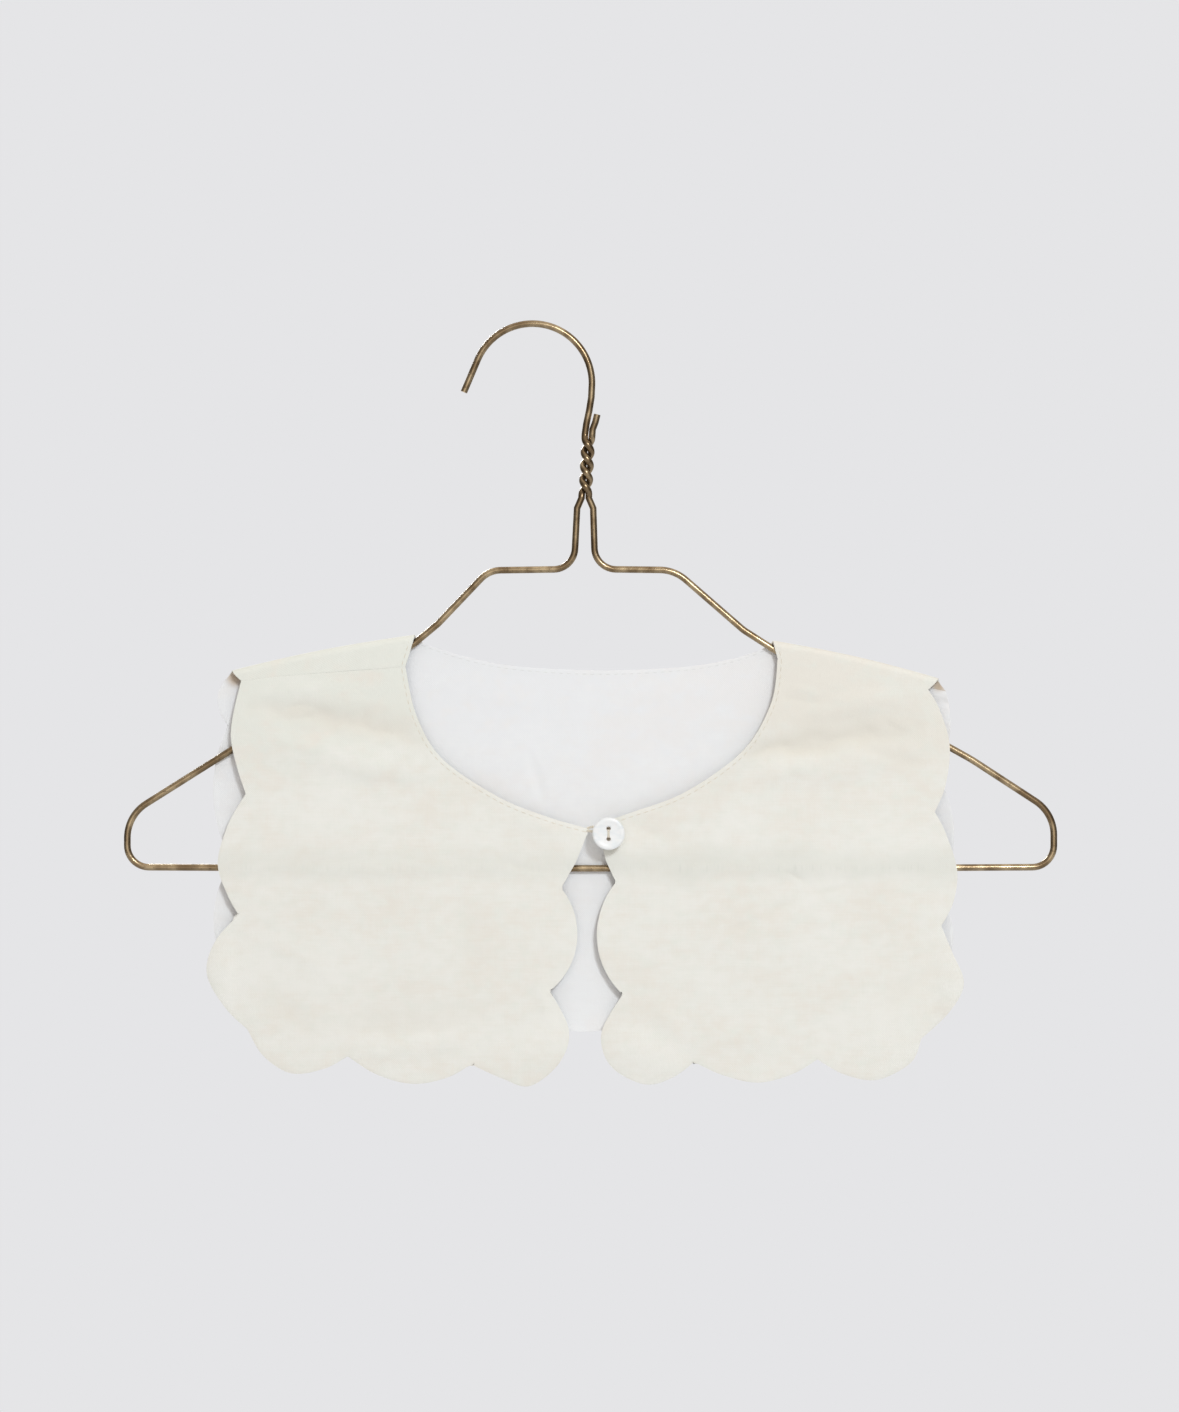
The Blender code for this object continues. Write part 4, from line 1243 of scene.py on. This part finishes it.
def button_thread():
    """Three strands from the cloth, up one hole, over the bridge and down the other hole."""
    top = seat + BUTTON_THICKNESS - BUTTON_DISH
    half = HOLE_SPACING / 2 - 0.35
    paths = []
    for number in range(3):
        shift = (number - 1) * STRAND_PITCH
        over = top + 0.12 + 0.10 * (number % 2)
        side = ((button_foot, half), (top - 0.5, half), (top, half - 0.12), (over, half - 0.40))
        upper = [(BUTTON_X + shift, -out, BUTTON_Z + rise) for out, rise in side]
        lower = [(BUTTON_X + shift, -out, BUTTON_Z - rise) for out, rise in reversed(side)]
        paths.append([*upper, (BUTTON_X + shift * 0.8, -over - 0.05, BUTTON_Z), *lower])
    return paths


round_rod("button_thread", button_thread(), THREAD_RADIUS, cream_thread, None)


def loop_path(turn):
    """One of the loop's two plies, which wind round its middle line."""
    over = seat - LOOP_RADIUS - 0.1
    edge = FOLD_RADIUS + FRONT_WALL / 2
    middle = [(17.6, edge, -161.4), (19.4, (edge + over) / 2, -160.9), (20.8, over, -161.0)]
    for angle in range(90, -91, -15):
        eye_x, eye_z = LOOP_EYE_RADIUS * cos(radians(angle)), LOOP_EYE_RADIUS * sin(radians(angle))
        middle.append((BUTTON_X + eye_x, over, BUTTON_Z + eye_z))
    middle += [(20.9, over, -162.8), (19.3, (edge + over) / 2, -162.4), (17.4, edge, -162.2)]
    plied = []
    even = [step / LOOP_STEPS for step in range(LOOP_STEPS + 1)]
    for step, (x, depth, z) in enumerate(points_along(middle, even)):
        around = turn + 2 * pi * LOOP_TWISTS * step / LOOP_STEPS
        aside, out = LOOP_PLY_ASIDE * cos(around), LOOP_PLY_ASIDE * sin(around)
        plied.append((x + LOOP_PLY_ALONG * cos(around), -depth - out, z + aside))
    return plied


plies = [loop_path(0.0), loop_path(pi)]
round_rod("loop_cord", plies, LOOP_PLY_RADIUS, cream_thread, "button_loop")

# %% [markdown]
# ## Floor, light and camera
#
# The floor is plain and pale, and lies well below the hanging collar. A soft, slightly cool lamp
# shines from above the camera and to its right, and a second one lights the back. The world fills in
# with a warmer light, strongest from ahead, behind and above, so shadows turn warm and the narrow
# gaps between the cloths stay open. The camera looks straight at the collar through a long lens.

# %% Floor and world
BACKDROP = paint(229, 229, 231)
LOOK_AT = Vector((0.0184, 0.0, -0.1221))
FLOOR_HEIGHT = -1.25
FLOOR_RADIUS = 3.6
PALER_FROM, PALEST_FROM = 0.9, 2.6
FILL_COLOUR = (1.0, 0.955, 0.91, 1.0)
KEY_COLOUR = (1.0, 1.075, 1.15)


def floor_finish():
    finish = Finish("pale_floor", {"Roughness": 0.95})
    place = finish.place()
    clouds = finish.noise(place, (0.5, 0.5, 0.5), 2.0)
    near = finish.blend(paint(208, 211, 216), paint(213, 216, 221), clouds)
    away = finish.node("VectorMath", {"operation": "LENGTH"}, {0: place}, "Value")
    far = paint(242, 246, 252)
    finish.colour(finish.blend(near, far, finish.ease(away, PALER_FROM, PALEST_FROM)))
    return finish.material


disc = bmesh.new()
under_collar = Matrix.Translation((LOOK_AT.x, 0.0, FLOOR_HEIGHT))
bmesh.ops.create_circle(disc, cap_ends=True, segments=96, radius=FLOOR_RADIUS, matrix=under_collar)
floor = add_object("studio_floor", as_mesh("studio_floor", disc))
floor.data.materials.append(floor_finish())

world = bpy.data.worlds.new("studio")
bpy.context.scene.world = world
world.use_nodes = True
sky = Bench(world.node_tree)
way = sky.node("TexCoord", {}, {}, "Generated")
ahead = sky.math("POWER", sky.math("ABSOLUTE", sky.part(way, "Y")), 6.0)
above = sky.math("POWER", sky.math("MAXIMUM", sky.part(way, "Z")), 3.0)
strength = 0.12 + 1.23 * ahead + 1.35 * above
glow = sky.node("Background", {}, {"Color": FILL_COLOUR, "Strength": strength})
seen = sky.node("Background", {}, {"Color": BACKDROP})
by_camera = sky.node("LightPath", {}, {}, "Is Camera Ray")
choice = sky.node("MixShader", {}, {0: by_camera, 1: glow, 2: seen})
sky.feed(sky.tree.nodes["World Output"].inputs["Surface"], choice)
bpy.context.scene.view_settings.view_transform = "Standard"
print("floor", FLOOR_HEIGHT, "m below the rail, radius", FLOOR_RADIUS, "m")

# %% Lights and camera
CAMERA_DISTANCE = 1.0742
PHOTO_WIDTH, PHOTO_HEIGHT = 1179, 1412


def soft_light(name, place, size, power):
    lamp = bpy.data.lights.new(name, "AREA")
    lamp.color = KEY_COLOUR
    lamp.shape = "DISK"
    lamp.size = size
    lamp.energy = power
    lamp_object = add_object(name, lamp)
    lamp_object.location = LOOK_AT + Vector(place)
    lamp_object.rotation_mode = "QUATERNION"
    lamp_object.rotation_quaternion = (-Vector(place)).to_track_quat("-Z", "Y")


soft_light("key_light", (0.44, -1.55, 0.72), 0.34, 11.8)
soft_light("back_light", (-0.55, 1.55, 0.80), 0.50, 11.8)

lens = bpy.data.cameras.new("camera")
lens.lens = 85.0
lens.sensor_width = 36.0
lens.clip_start, lens.clip_end = 0.05, 60.0
camera = add_object("camera", lens)
camera.location = LOOK_AT + Vector((0.0, -CAMERA_DISTANCE, 0.0))
camera.rotation_euler = (pi / 2, 0.0, 0.0)
bpy.context.scene.camera = camera
shown = CAMERA_DISTANCE * lens.sensor_width / lens.lens
print(f"the picture is {shown / MM:.0f} mm high and {shown * PHOTO_WIDTH / PHOTO_HEIGHT / MM:.0f} mm wide")
